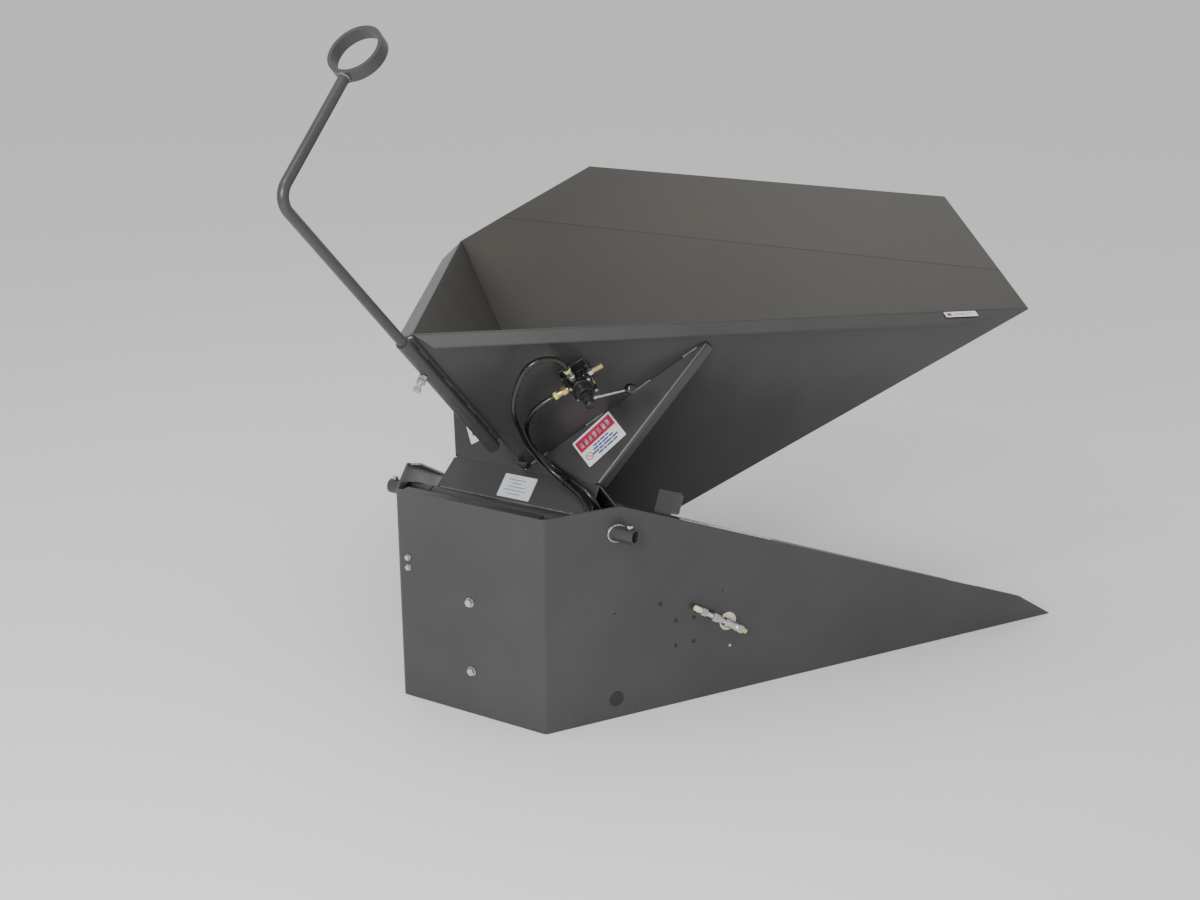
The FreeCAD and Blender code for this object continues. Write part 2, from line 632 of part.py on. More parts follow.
def swept(name, path, diameter):
    """A round solid along straight runs joined by the given arcs or lines.

    diameter is an expression on the Dimensions sheet.
    """
    spine = doc.addObject("Part::Feature", name + "_path")
    spine.Shape = Part.Wire([edge.toShape() for edge in path])
    first = path[0]
    profile = doc.addObject("Part::Circle", name + "_section")
    profile.setExpression("Radius", "(%s) / 2" % diameter)
    tangent = first.tangent(first.FirstParameter)[0]
    profile.Placement = Placement(first.value(first.FirstParameter), Rotation(Z_AXIS, tangent))
    sweep = doc.addObject("Part::Sweep", name)
    sweep.Sections = [profile]
    sweep.Spine = (spine, ["Edge%d" % (i + 1) for i in range(len(path))])
    sweep.Solid = True
    return sweep


def ring_rod_and_ring():
    """The bent rod with its pipe-slice ring; the rod ends in the ring's wall."""
    low, high, bend = dim("rod_low"), dim("rod_high"), dim("rod_bend")
    y = SOCKET.y
    ring_back = dim("ring_offset") - dim("ring_diameter") / 2
    reach = 2.0
    q = bend * ROOT_HALF
    start, corner = Vector(0, y, low), Vector(0, y, high - bend)
    middle, turned = Vector(0, y + bend - q, high - bend + q), Vector(0, y + bend, high)
    end = Vector(0, ring_back + reach, high)
    path = [Part.LineSegment(start, corner), Part.Arc(corner, middle, turned), Part.LineSegment(turned, end)]
    rod = swept("ring_rod_sweep", path, "Dimensions.rod_diameter")
    half = dim("ring_width") / 2
    centre = Vector(0, dim("ring_offset"), high)
    solid_ring = cylinder("ring_blank", "Dimensions.ring_diameter", "Dimensions.ring_width",
                          centre - Z_AXIS * half, Z_AXIS)
    node(cut("ring_rod_cut", rod, solid_ring), "ring_rod", TILT)
    node(tube("ring", "Dimensions.ring_diameter", "Dimensions.ring_bore", "Dimensions.ring_width",
              centre - Z_AXIS * half, Z_AXIS), "ring", TILT)


# ----------------------------------------------------------------- air spring

BEAD_DEPTH = dim("bead_plate")
BELLOWS_START = Vector(0, INNER_REAR_Y + BEAD_DEPTH, dim("bellows_height"))
BELLOWS_END = TILT.multVec(Vector(0, DECK_FRONT - BEAD_DEPTH, dim("bellows_height")))
PORT = Vector(150, INNER_REAR_Y, 250)
PORT_SIZE = (36, 20, 36)
FITTING_DIAMETER, FITTING_LENGTH = 16, 14


def air_spring():
    """Bead plates on the rear panel and push plate, and the bellows between."""
    rear = cylinder("rear_bead", "2 * Dimensions.bead_radius", "Dimensions.bead_plate",
                    (0, INNER_REAR_Y, dim("bellows_height")), Y_AXIS)
    drills = fuse("rear_bead_drills", [
        cylinder("rear_bead_drill_%d" % i, str(BEAD_BOLT), str(2 * BEAD_BLIND),
                 (0, INNER_REAR_Y - BEAD_BLIND, height), Y_AXIS)
        for i, height in enumerate(BEAD_BOLT_HEIGHTS)])
    node(cut("rear_bead_cut", rear, drills), "air_spring_rear_plate")
    front = cylinder("front_bead", "2 * Dimensions.bead_radius", "Dimensions.bead_plate",
                     (0, DECK_FRONT, dim("bellows_height")), -Y_AXIS)
    drills = fuse("front_bead_drills", [
        cylinder("front_bead_drill_%d" % i, str(BEAD_BOLT), str(2 * BEAD_BLIND),
                 (x, DECK_FRONT + BEAD_BLIND, dim("bellows_height")), -Y_AXIS)
        for i, x in enumerate(PUSH_BOLT_X)])
    node(cut("front_bead_cut", front, drills), "air_spring_front_plate", TILT)
    pieces = []
    for i, x in enumerate(PUSH_BOLT_X):
        pieces += hex_bolt("push_bolt_%d" % i, BEAD_BOLT, (x, DECK_FRONT + SHEET, dim("bellows_height")),
                           Y_AXIS, SHEET + BEAD_BLIND)
    node(fuse("push_bolts_fuse", pieces), "push_plate_bolts", TILT)
    node(swept("bellows_sweep", bellows_path(), "2 * Dimensions.bellows_radius"), "air_spring_bellows")


def bellows_path():
    """A straight off the rear plate and one arc round to the tilted front plate."""
    tilt = dim("rest_tilt")
    radius = (BELLOWS_END.z - BELLOWS_START.z) / (1 - cos(tilt))
    bend_start = Vector(0, BELLOWS_END.y - radius * sin(tilt), BELLOWS_START.z)
    half_way = bend_start + Vector(0, radius * sin(tilt / 2), radius * (1 - cos(tilt / 2)))
    return [Part.LineSegment(BELLOWS_START, bend_start), Part.Arc(bend_start, half_way, BELLOWS_END)]


def port_block():
    """The block on the rear panel that feeds the bellows, with its hose fitting."""
    size_x, size_y, size_z = PORT_SIZE
    face = PORT + Y_AXIS * size_y
    pieces = [box("port_box", [str(v) for v in PORT_SIZE], PORT - Vector(size_x / 2, 0, size_z / 2)),
              cylinder("port_fitting", str(FITTING_DIAMETER), str(FITTING_LENGTH), face, Y_AXIS)]
    node(fuse("port_fuse", pieces), "lift_port_block")


# ---------------------------------------------------------------- hand valve

VALVE_ALONG, VALVE_HEIGHT = dim("valve_along"), dim("valve_height")
VALVE_BACK, VALVE_FACE, VALVE_STEP, HUB_END = 24, 56, 74, 107
VALVE_HALF = 27
PORT_OUT = 41
SUPPLY_ALONG, SUPPLY_END = 211, 703
LIFT_END, LIFT_HEIGHT = 150, 641
MUFFLER_HEIGHT, MUFFLER_END = 651, 277
LEVER_OUT, LEVER_REACH, LEVER_DROP, LEVER_DIAMETER, KNOB_DIAMETER = 85, 93, 26, 5, 25.4


def on_wall(along, height, out):
    """A point of the right cradle wall, out measured from its outer face."""
    return CORNER + WALL_ALONG * along + WALL_OUT * out + Z_AXIS * height


def wall_box(name, along, height, out, size):
    """A box on the wall: along, height and out are its low corner."""
    return box(name, [str(v) for v in size], (0, 0, 0), wall_frame(along, height, out))


def valve_parts():
    ear, bracket_half, bracket_width, bracket_height, bracket_low = 3, 32, 64, 50, 606
    left = VALVE_ALONG - bracket_half
    pieces = [wall_box("bracket_back", left, bracket_low, 0, (bracket_width, bracket_height, ear)),
              wall_box("bracket_ear_0", left, bracket_low, ear, (ear, bracket_height, VALVE_BACK - ear)),
              wall_box("bracket_ear_1", left + bracket_width - ear, bracket_low, ear,
                       (ear, bracket_height, VALVE_BACK - ear)),
              wall_box("bracket_front", left, bracket_low, VALVE_BACK - ear,
                       (bracket_width, bracket_height, ear))]
    node(fuse("valve_bracket_fuse", pieces), "valve_bracket", TILT)
    width = 2 * VALVE_HALF
    pieces = [wall_box("valve_block", VALVE_ALONG - VALVE_HALF, VALVE_HEIGHT - VALVE_HALF, VALVE_BACK,
                       (width, width, VALVE_FACE - VALVE_BACK)),
              cylinder("valve_step", "40", str(VALVE_STEP - VALVE_FACE),
                       on_wall(VALVE_ALONG, VALVE_HEIGHT, VALVE_FACE), WALL_OUT)]
    node(fuse("valve_body_fuse", pieces), "valve_body", TILT)
    screws = []
    for i, (side, level) in enumerate(((-1, -1), (-1, 1), (1, -1), (1, 1))):
        seat = on_wall(VALVE_ALONG + side * 21, VALVE_HEIGHT + level * 21, VALVE_FACE)
        screws.append(hex_prism("valve_screw_%d" % i, "8", "4", seat, WALL_OUT))
    node(fuse("valve_screws_fuse", screws), "valve_screws", TILT)
    valve_fittings()
    valve_lever()


def valve_fittings():
    side = VALVE_ALONG + VALVE_HALF
    start, end = on_wall(side, MUFFLER_HEIGHT, PORT_OUT), on_wall(MUFFLER_END, MUFFLER_HEIGHT, PORT_OUT)
    pieces = [hex_prism("muffler_hex", "13", "9", start, WALL_ALONG),
              cylinder("muffler_cone", "11", str((end - start).Length), start, WALL_ALONG)]
    node(fuse("muffler_fuse", pieces), "exhaust_muffler", TILT)
    top = on_wall(SUPPLY_ALONG, VALVE_HEIGHT + VALVE_HALF, PORT_OUT)
    pieces = [hex_prism("supply_hex", "17", "14", top, Z_AXIS),
              cylinder("supply_collar", str(FITTING_DIAMETER), str(SUPPLY_END - top.z), top, Z_AXIS)]
    node(fuse("supply_fuse", pieces), "supply_fitting", TILT)
    port = on_wall(VALVE_ALONG - VALVE_HALF, LIFT_HEIGHT, PORT_OUT)
    pieces = [hex_prism("lift_hex", "17", "14", port, -WALL_ALONG),
              cylinder("lift_collar", str(FITTING_DIAMETER), str(VALVE_ALONG - VALVE_HALF - LIFT_END),
                       port, -WALL_ALONG)]
    node(fuse("lift_fuse", pieces), "lift_fitting", TILT)


def valve_lever():
    """Hub and thin lever in one, and the ball knob on the lever's end."""
    clearance, hub_diameter, seat_depth = 0.3, 26, 9
    axis_point = on_wall(VALVE_ALONG, VALVE_HEIGHT, LEVER_OUT)
    reach = WALL_ALONG * cos(LEVER_DROP) - Z_AXIS * sin(LEVER_DROP)
    rod_length = LEVER_REACH - KNOB_DIAMETER / 2 + seat_depth
    hub_start = on_wall(VALVE_ALONG, VALVE_HEIGHT, VALVE_STEP + clearance)
    hub_length = HUB_END - VALVE_STEP - clearance
    pieces = [cylinder("lever_hub", str(hub_diameter), str(hub_length), hub_start, WALL_OUT),
              cylinder("lever_rod", str(LEVER_DIAMETER), str(rod_length), axis_point, reach)]
    node(fuse("lever_fuse", pieces), "valve_lever", TILT)
    ball = doc.addObject("Part::Sphere", "knob_ball")
    ball.setExpression("Radius", "%s / 2" % KNOB_DIAMETER)
    ball.Placement = Placement(axis_point + reach * LEVER_REACH, Rotation())
    socket = cylinder("knob_socket", str(LEVER_DIAMETER), str(rod_length), axis_point, reach)
    node(cut("knob_cut", ball, socket), "lever_knob", TILT)


# ----------------------------------------------------------------- air inlet

INLET_OUT = 14
INLET_START, INLET_LENGTH = (354, 226), 155
INLET_DIP = 32.3
TEE_START, TEE_END, BRANCH_END = 88, 128, -25
BRANCH_DIAMETER = 16
INLET_DIRECTION = ALONG * cos(INLET_DIP) - Z_AXIS * sin(INLET_DIP)


def on_inlet(distance):
    """A point on the fittings' common axis, beside the right panel."""
    return on_panel(*INLET_START, INLET_OUT) + INLET_DIRECTION * distance


def inlet_parts():
    """Grommet, tee, nipple and coupler of the air supply on the right side."""
    bore, lip_diameter, lip = BRANCH_DIAMETER, 42, 3
    inside = on_panel(*PANEL_INLET, -PLATE)
    pieces = [cylinder("grommet_core", str(2 * INLET_RADIUS), str(PLATE), inside, OUTWARD),
              cylinder("grommet_lip_out", str(lip_diameter), str(lip), on_panel(*PANEL_INLET), OUTWARD),
              cylinder("grommet_lip_in", str(lip_diameter), str(lip), inside, -OUTWARD)]
    drill = cylinder("grommet_drill", str(bore), "40", on_panel(*PANEL_INLET, -20), OUTWARD)
    node(cut("grommet_cut", fuse("grommet_fuse", pieces), drill), "inlet_grommet")
    branch_start = on_panel(*PANEL_INLET, BRANCH_END)
    pieces = [cylinder("tee_run", "20", str(TEE_END - TEE_START), on_inlet(TEE_START), INLET_DIRECTION),
              cylinder("tee_branch", str(BRANCH_DIAMETER), str(INLET_OUT - BRANCH_END),
                       branch_start, OUTWARD)]
    node(fuse("tee_fuse", pieces), "inlet_tee")
    pieces = [cylinder("nipple_pipe", "13", str(TEE_START), on_inlet(0), INLET_DIRECTION),
              hex_prism("nipple_hex_0", "16", "15", on_inlet(18), INLET_DIRECTION),
              hex_prism("nipple_hex_1", "18", "16", on_inlet(52), INLET_DIRECTION)]
    node(fuse("nipple_chain_fuse", pieces), "inlet_nipple")
    pieces = [cylinder("coupler_end", "11", str(INLET_LENGTH - TEE_END), on_inlet(TEE_END), INLET_DIRECTION),
              hex_prism("coupler_hex", "17", "15", on_inlet(TEE_END), INLET_DIRECTION)]
    node(fuse("coupler_fuse", pieces), "inlet_coupler")


# --------------------------------------------------------------------- hoses

# Each hose leaves the valve on the cradle, drawn level, and goes on in the base.
SUPPLY_ON_CRADLE = [
    (169, 212, 751), (153, 196, 764), (135, 177, 763), (120, 159, 747), (99, 134, 712), (85, 116, 669),
    (78, 108, 616), (72, 101, 560), (74, 99, 514), (91, 92, 481), (119, 80, 466), (151, 66, 462),
    (184, 51, 461),
]
SUPPLY_IN_BASE = [
    (208, -4, 468), (222, -29, 443), (225, -39, 404), (226, -34, 362), (232, -14, 322), (240, 20, 290),
    (243, 64, 266), (242, 112, 254), (240, 160, 238), (245, 207, 218), (270, 249, 198), (312, 273, 182),
]
LIFT_ON_CRADLE = [
    (89, 137, 621), (73, 124, 588), (62, 115, 542), (60, 113, 500), (80, 108, 467), (114, 96, 456),
    (152, 82, 464), (190, 65, 465),
]
LIFT_IN_BASE = [
    (211, 20, 476), (220, 31, 444), (221, 41, 407), (214, 36, 376), (206, 20, 338), (193, -2, 306),
    (177, -20, 279), (160, -42, 261),
]
END_RUN, SUPPLY_RISE = 36, 24


def cord_path(points):
    """Straight runs joined by arcs as large as the two runs beside each allow."""
    edges, here = [], points[0]
    radii = []
    for before, corner, after in zip(points, points[1:], points[2:]):
        back, ahead = before - corner, after - corner
        shorter = min(back.Length, ahead.Length)
        back.normalize()
        ahead.normalize()
        turn = math.pi - back.getAngle(ahead)
        setback = 0.45 * shorter
        radius = setback / math.tan(turn / 2)
        radii.append(round(radius))
        start, end = corner + back * setback, corner + ahead * setback
        bisector = (back + ahead).normalize()
        middle = corner + bisector * (radius / math.cos(turn / 2) - radius)
        edges += [Part.LineSegment(here, start), Part.Arc(start, middle, end)]
        here = end
    edges.append(Part.LineSegment(here, points[-1]))
    print("arc radii", radii)
    return edges


def hose(label, points):
    """A hose's tube; the printed volumes tell whether the sweep is whole."""
    path = cord_path(points)
    tube_solid = swept(label + "_sweep", path, "Dimensions.hose_diameter")
    doc.recompute()
    length = sum(edge.length() for edge in path)
    section = math.pi * dim("hose_diameter") ** 2 / 4
    print("%s: length %.0f, volume %.0f, section x length %.0f"
          % (label, length, tube_solid.Shape.Volume, section * length))
    node(tube_solid, label)


def hoses():
    start = on_wall(SUPPLY_ALONG, SUPPLY_END, PORT_OUT)
    leaving = start + Z_AXIS * SUPPLY_RISE
    on_cradle = [TILT.multVec(p) for p in [start, leaving] + [Vector(*p) for p in SUPPLY_ON_CRADLE]]
    in_base = [Vector(*p) for p in SUPPLY_IN_BASE]
    branch = on_panel(*PANEL_INLET, BRANCH_END)
    hose("supply_hose", on_cradle + in_base + [branch - OUTWARD * END_RUN, branch])
    start = on_wall(LIFT_END, LIFT_HEIGHT, PORT_OUT)
    leaving = start - WALL_ALONG * END_RUN
    on_cradle = [TILT.multVec(p) for p in [start, leaving] + [Vector(*p) for p in LIFT_ON_CRADLE]]
    in_base = [Vector(*p) for p in LIFT_IN_BASE]
    port = PORT + Y_AXIS * (PORT_SIZE[1] + FITTING_LENGTH)
    hose("lift_hose", on_cradle + in_base + [port + Y_AXIS * END_RUN, port])


# -------------------------------------------------------------------- labels

def label(name, size, place):
    """A thin printed label lying on local XY, size along X and Y."""
    return box(name, (str(size[0]), str(size[1]), "Dimensions.label_thickness"), (0, 0, 0), place)


def labels():
    top = slope_frame(0)
    stickers = [(160, 4, 246, 15), (941, 1, 96, 7)]
    pieces = []
    for i, (x, y, length, width) in enumerate(stickers):
        place = top.multiply(Placement(Vector(x, y, 0), Rotation()))
        pieces.append(label("flange_label_%d" % i, (length, width), place))
    node(fuse("flange_labels_fuse", pieces), "flange_labels")
    thickness = dim("label_thickness")
    rim = rim_frame(thickness).multiply(Placement(Vector(1261, 4, 0), Rotation()))
    node(label("rim_sticker", (89, 17), rim), "rim_label", TILT)
    deck_label = Placement(Vector(-42, 27, DECK_TOP), Rotation())
    node(label("rating_sticker", (84, 56), deck_label), "rating_label", TILT)
    length, width, turn = 107, 74, 54
    centre = Placement(Vector(159, 100, 0), Rotation(Z_AXIS, turn))
    corner = Placement(Vector(-length / 2, -width / 2, 0), Rotation())
    caution = label("caution_sticker", (length, width), arm_frame(0).multiply(centre).multiply(corner))
    pair("caution_pair", caution, "caution_labels", TILT)


# --------------------------------------------------------------------- build

def check_and_export():
    """Refuse a failed object or an invalid sub-part, then write every sub-part."""
    failed = [obj.Name for obj in doc.Objects if {"Invalid", "Error"} & set(obj.State)]
    bad = [obj.Label for obj in NODES if obj.Shape.isNull() or not obj.Shape.isValid()]
    if failed or bad:
        raise SystemExit("failed %s, bad shapes %s" % (failed, bad))
    if len(set(obj.Label for obj in NODES)) != len(NODES):
        raise SystemExit("two sub-parts share a label")
    os.makedirs("parts", exist_ok=True)
    for obj in NODES:
        obj.Shape.exportStep("parts/%s.step" % obj.Label)
    print(len(NODES), "sub-parts written")


SECTIONS = [
    rear_panel, rear_flange, side_panels, side_flanges, bottom_plate, side_tab, rear_parts,
    panel_fasteners, tilt_axis, moving_tube, cradle_floor, cradle_walls, rim_flanges, deck_and_push_plate,
    arms, notch_gusset, ring_socket, clamp_bolt, ring_rod_and_ring, air_spring, port_block, valve_parts,
    inlet_parts, hoses, labels,
]
for section in SECTIONS:
    section()
doc.recompute()
check_and_export()
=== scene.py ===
import math

import bmesh
import bpy
from mathutils import Matrix, Vector


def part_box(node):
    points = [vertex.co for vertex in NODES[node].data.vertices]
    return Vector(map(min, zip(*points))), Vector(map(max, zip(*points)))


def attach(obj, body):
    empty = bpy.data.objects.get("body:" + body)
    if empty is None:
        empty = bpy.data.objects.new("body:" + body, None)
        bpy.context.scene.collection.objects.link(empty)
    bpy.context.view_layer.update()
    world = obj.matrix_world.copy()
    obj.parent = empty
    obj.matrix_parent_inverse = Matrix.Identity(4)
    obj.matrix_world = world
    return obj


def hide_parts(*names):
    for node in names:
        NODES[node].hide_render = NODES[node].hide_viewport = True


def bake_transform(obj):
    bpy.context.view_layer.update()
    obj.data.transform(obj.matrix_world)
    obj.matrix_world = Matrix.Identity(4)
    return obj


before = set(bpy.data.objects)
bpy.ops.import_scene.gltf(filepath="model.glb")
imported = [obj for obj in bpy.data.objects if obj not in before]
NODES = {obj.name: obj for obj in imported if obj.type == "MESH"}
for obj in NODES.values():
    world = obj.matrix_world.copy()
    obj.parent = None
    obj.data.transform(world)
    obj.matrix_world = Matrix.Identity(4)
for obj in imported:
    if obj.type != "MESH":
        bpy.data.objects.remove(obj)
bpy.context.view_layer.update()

# ------------------------------------------------------------------ frames
# Each frame is a matrix from its own axes to the rest pose, in metres.

REST_TILT = math.radians(45)
FLARE = math.radians(31)
ARM_SLOPE = math.radians(11.5)
TILT_AXIS = Vector((0, 0, 0.426))
DECK_FRONT, DECK_TOP = 0.097, 0.430
TAB_TILT = math.radians(62)
ROOT_HALF = math.sqrt(0.5)
UP = Vector((0, 0, 1))


def axes(x_dir, y_dir, origin):
    """Frame with the given origin and X and Y directions."""
    x_dir, y_dir = Vector(x_dir).normalized(), Vector(y_dir).normalized()
    turn = Matrix((x_dir, y_dir, x_dir.cross(y_dir))).transposed()
    return Matrix.Translation(Vector(origin)) @ turn.to_4x4()


def along(origin, direction):
    """Frame whose Z runs along direction."""
    turn = Vector(direction).to_track_quat("Z", "X").to_matrix()
    return Matrix.Translation(Vector(origin)) @ turn.to_4x4()


# The cradle's own frame, floor plate level, turned up to the rest pose.
CRADLE = (Matrix.Translation(TILT_AXIS) @ Matrix.Rotation(REST_TILT, 4, "X")
          @ Matrix.Translation(-TILT_AXIS))
# Right cradle wall: X away from the corner, Y up, Z out of its outer face.
WALL = CRADLE @ axes((ROOT_HALF, ROOT_HALF, 0), UP, (0, 0.102, 0))
# Right base panel: X towards its tip, Y up, Z out of its outer face.
PANEL = axes((math.sin(FLARE), math.cos(FLARE), 0), UP, (0.190, -0.146, 0))
# Right arm: X to the right, Y up its slope, Z off its face.
ARM = CRADLE @ axes((1, 0, 0), (0, math.cos(ARM_SLOPE), math.sin(ARM_SLOPE)), (0, DECK_FRONT, DECK_TOP))
MIRROR = Matrix.Scale(-1, 4, (1, 0, 0))

# Places in the right base panel's frame.
TEE_BRANCH = (0.446, 0.171, -0.025)
INLET_START, INLET_DIP = (0.354, 0.226, 0.014), math.radians(32.3)
SCREWS = ((0.314, 0.199), (0.359, 0.197), (0.314, 0.140), (0.359, 0.141), (0.275, 0.246))
RIVET = (0.453, 0.111)
FLANGE_HIGH, FLANGE_LOW = (0.180, 0.484), (1.285, 0.066)


def span(node, place):
    """Lowest and highest corner of a CAD node in one of the frames."""
    inverse = place.inverted()
    points = [inverse @ v.co for v in NODES[node].data.vertices]
    return (Vector(min(p[i] for p in points) for i in range(3)),
            Vector(max(p[i] for p in points) for i in range(3)))


# --------------------------------------------------------------- materials

def material(name, dark, light, rough, metallic=0.0, cloud=6.0, grain=500.0, bump=0.15,
             depth=0.0003, stretch=(1, 1, 1), coat=0.0, specular=0.5, shade=0.62, fleck=None,
             fleck_share=0.0):
    """Two colours mixed by soft clouds and a fine grain, which also sets roughness and bump."""
    made = bpy.data.materials.new(name)
    made.use_nodes = True
    tree = made.node_tree
    shader = tree.nodes["Principled BSDF"]
    shader.inputs["Metallic"].default_value = metallic
    shader.inputs["Coat Weight"].default_value = coat
    shader.inputs["Coat Roughness"].default_value = 0.15
    shader.inputs["Specular IOR Level"].default_value = specular
    coordinates = tree.nodes.new("ShaderNodeTexCoord")
    mapping = tree.nodes.new("ShaderNodeMapping")
    mapping.inputs["Scale"].default_value = stretch
    tree.links.new(coordinates.outputs["Object"], mapping.inputs["Vector"])

    def noise(scale, detail):
        texture = tree.nodes.new("ShaderNodeTexNoise")
        texture.inputs["Scale"].default_value = scale
        texture.inputs["Detail"].default_value = detail
        tree.links.new(mapping.outputs["Vector"], texture.inputs["Vector"])
        return texture.outputs["Fac"]

    def mix(factor, first, second):
        blend = tree.nodes.new("ShaderNodeMix")
        blend.data_type = "RGBA"
        tree.links.new(factor, blend.inputs["Factor"])
        for socket, value in ((blend.inputs["A"], first), (blend.inputs["B"], second)):
            if isinstance(value, bpy.types.NodeSocket):
                tree.links.new(value, socket)
            else:
                socket.default_value = (*value, 1)
        return blend.outputs["Result"]

    def spread(value, low, high, to_low, to_high):
        ranged = tree.nodes.new("ShaderNodeMapRange")
        for socket, number in zip(ranged.inputs[1:5], (low, high, to_low, to_high)):
            socket.default_value = number
        tree.links.new(value, ranged.inputs["Value"])
        return ranged.outputs["Result"]

    clouds, fine = noise(cloud, 5.0), noise(grain, 3.0)
    colour = mix(spread(clouds, 0.3, 0.7, 0.0, 1.0), dark, light)
    darker = [shade * c for c in dark]
    colour = mix(spread(fine, 0.25, 0.5, 0.55, 0.0), colour, darker)
    if fleck:
        patches = noise(cloud * 9, 6.0)
        colour = mix(spread(patches, 1 - fleck_share, 1.04 - fleck_share, 0.0, 0.8), colour, fleck)
    tree.links.new(colour, shader.inputs["Base Color"])
    tree.links.new(spread(clouds, 0.3, 0.7, rough[0], rough[1]), shader.inputs["Roughness"])
    relief = tree.nodes.new("ShaderNodeBump")
    relief.inputs["Strength"].default_value = bump
    relief.inputs["Distance"].default_value = depth
    tree.links.new(fine, relief.inputs["Height"])
    tree.links.new(relief.outputs["Normal"], shader.inputs["Normal"])
    return made


COAT = material("grey_powder_coat", (0.040, 0.039, 0.039), (0.056, 0.054, 0.054), (0.30, 0.42),
                cloud=4.0, grain=420.0, bump=0.35, depth=0.0005)
COAT_WARM = material("grey_powder_coat_inside", (0.040, 0.036, 0.030), (0.054, 0.049, 0.040), (0.36, 0.48),
                     cloud=3.0, grain=420.0, bump=0.35, depth=0.0005)
COAT_WELD = material("coated_weld", (0.085, 0.083, 0.080), (0.15, 0.146, 0.14), (0.28, 0.42),
                     cloud=90.0, grain=900.0, bump=0.5, depth=0.0006)
BARE_WELD = material("bare_weld", (0.30, 0.29, 0.27), (0.52, 0.51, 0.49), (0.28, 0.45), metallic=1.0,
                     cloud=140.0, grain=900.0, bump=0.5, depth=0.0006)
ZINC = material("zinc_plate", (0.46, 0.46, 0.45), (0.70, 0.70, 0.69), (0.20, 0.38), metallic=1.0,
                cloud=120.0, grain=1500.0, bump=0.2, depth=0.0002)
SHAFT = material("turned_steel", (0.26, 0.26, 0.27), (0.45, 0.45, 0.46), (0.26, 0.42), metallic=1.0,
                 cloud=40.0, grain=900.0, bump=0.25, depth=0.0002, stretch=(6, 1, 1))
RUBBER = material("cord_rubber", (0.012, 0.012, 0.012), (0.026, 0.026, 0.025), (0.55, 0.75),
                  cloud=30.0, grain=700.0, bump=0.4, depth=0.0006,
                  fleck=(0.09, 0.085, 0.075), fleck_share=0.36)
HOSE = material("hose_jacket", (0.006, 0.006, 0.006), (0.012, 0.012, 0.012), (0.22, 0.34),
                cloud=40.0, grain=1200.0, bump=0.2, depth=0.0002, coat=0.25,
                fleck=(0.16, 0.16, 0.15), fleck_share=0.33)
PLASTIC = material("moulded_black", (0.010, 0.010, 0.010), (0.018, 0.018, 0.018), (0.34, 0.46),
                   cloud=50.0, grain=1300.0, bump=0.3, depth=0.0002)
GLOSS = material("polished_black", (0.004, 0.004, 0.004), (0.008, 0.008, 0.008), (0.06, 0.12),
                 cloud=60.0, grain=900.0, bump=0.05, depth=0.0001, coat=0.6)
BRASS = material("machined_brass", (0.52, 0.38, 0.14), (0.72, 0.57, 0.26), (0.22, 0.36), metallic=1.0,
                 cloud=120.0, grain=1500.0, bump=0.2, depth=0.0002)
BRONZE = material("sintered_bronze", (0.42, 0.31, 0.17), (0.60, 0.48, 0.30), (0.5, 0.65), metallic=0.8,
                  cloud=160.0, grain=2400.0, bump=0.8, depth=0.0005)
LIME = material("lime_collar", (0.50, 0.60, 0.10), (0.64, 0.72, 0.20), (0.30, 0.42),
                cloud=80.0, grain=1500.0, bump=0.2, depth=0.0001)
TAPE = material("thread_tape", (0.66, 0.68, 0.42), (0.82, 0.82, 0.62), (0.45, 0.6),
                cloud=220.0, grain=1800.0, bump=0.6, depth=0.0004)
CREAM = material("cream_grommet", (0.56, 0.50, 0.36), (0.72, 0.67, 0.52), (0.5, 0.65),
                 cloud=60.0, grain=1200.0, bump=0.3, depth=0.0003)
WHITE_FILM = material("white_film", (0.74, 0.75, 0.76), (0.86, 0.87, 0.88), (0.28, 0.38),
                      cloud=25.0, grain=1400.0, bump=0.08, depth=0.0001, coat=0.2)
BLUE_FILM = material("pale_blue_film", (0.60, 0.68, 0.74), (0.72, 0.79, 0.84), (0.28, 0.38),
                     cloud=25.0, grain=1400.0, bump=0.08, depth=0.0001, coat=0.2)
MAGENTA = material("magenta_ink", (0.42, 0.010, 0.06), (0.54, 0.022, 0.09), (0.28, 0.38),
                   cloud=60.0, grain=1400.0, bump=0.06, depth=0.0001, coat=0.2)
BLUE = material("blue_ink", (0.02, 0.05, 0.24), (0.04, 0.08, 0.34), (0.28, 0.38),
                cloud=60.0, grain=1400.0, bump=0.06, depth=0.0001, coat=0.2)
GREY_INK = material("grey_ink", (0.20, 0.24, 0.30), (0.28, 0.33, 0.40), (0.28, 0.38),
                    cloud=60.0, grain=1400.0, bump=0.06, depth=0.0001)
FLOOR = material("studio_floor", (0.90, 0.90, 0.90), (0.91, 0.91, 0.91), (0.85, 0.95),
                 cloud=0.3, grain=900.0, bump=0.0, specular=0.0, shade=0.98)

SLOT_MATERIALS = {
    "grey_coat": COAT, "zinc_steel": ZINC, "shaft_steel": SHAFT, "black_rubber": RUBBER,
    "black_hose": HOSE, "black_plastic": PLASTIC, "black_gloss": GLOSS, "brass": BRASS,
    "cream_rubber": CREAM, "label_stock": WHITE_FILM,
}
WARM_NODES = ("cradle_floor", "cradle_ramp_lip", "cradle_wall_left", "base_side_left", "base_bottom_plate")
# Round parts and plates with drilled holes keep the edges that they have.
PLAIN_EDGES = ("ring_rod", "ring", "ring_arm_socket", "pivot_tube", "pivot_shaft", "pivot_spacers",
               "base_rear_panel", "base_side_right", "base_side_left", "cradle_push_plate", "inner_bracket",
               "air_spring_rear_plate", "air_spring_front_plate")


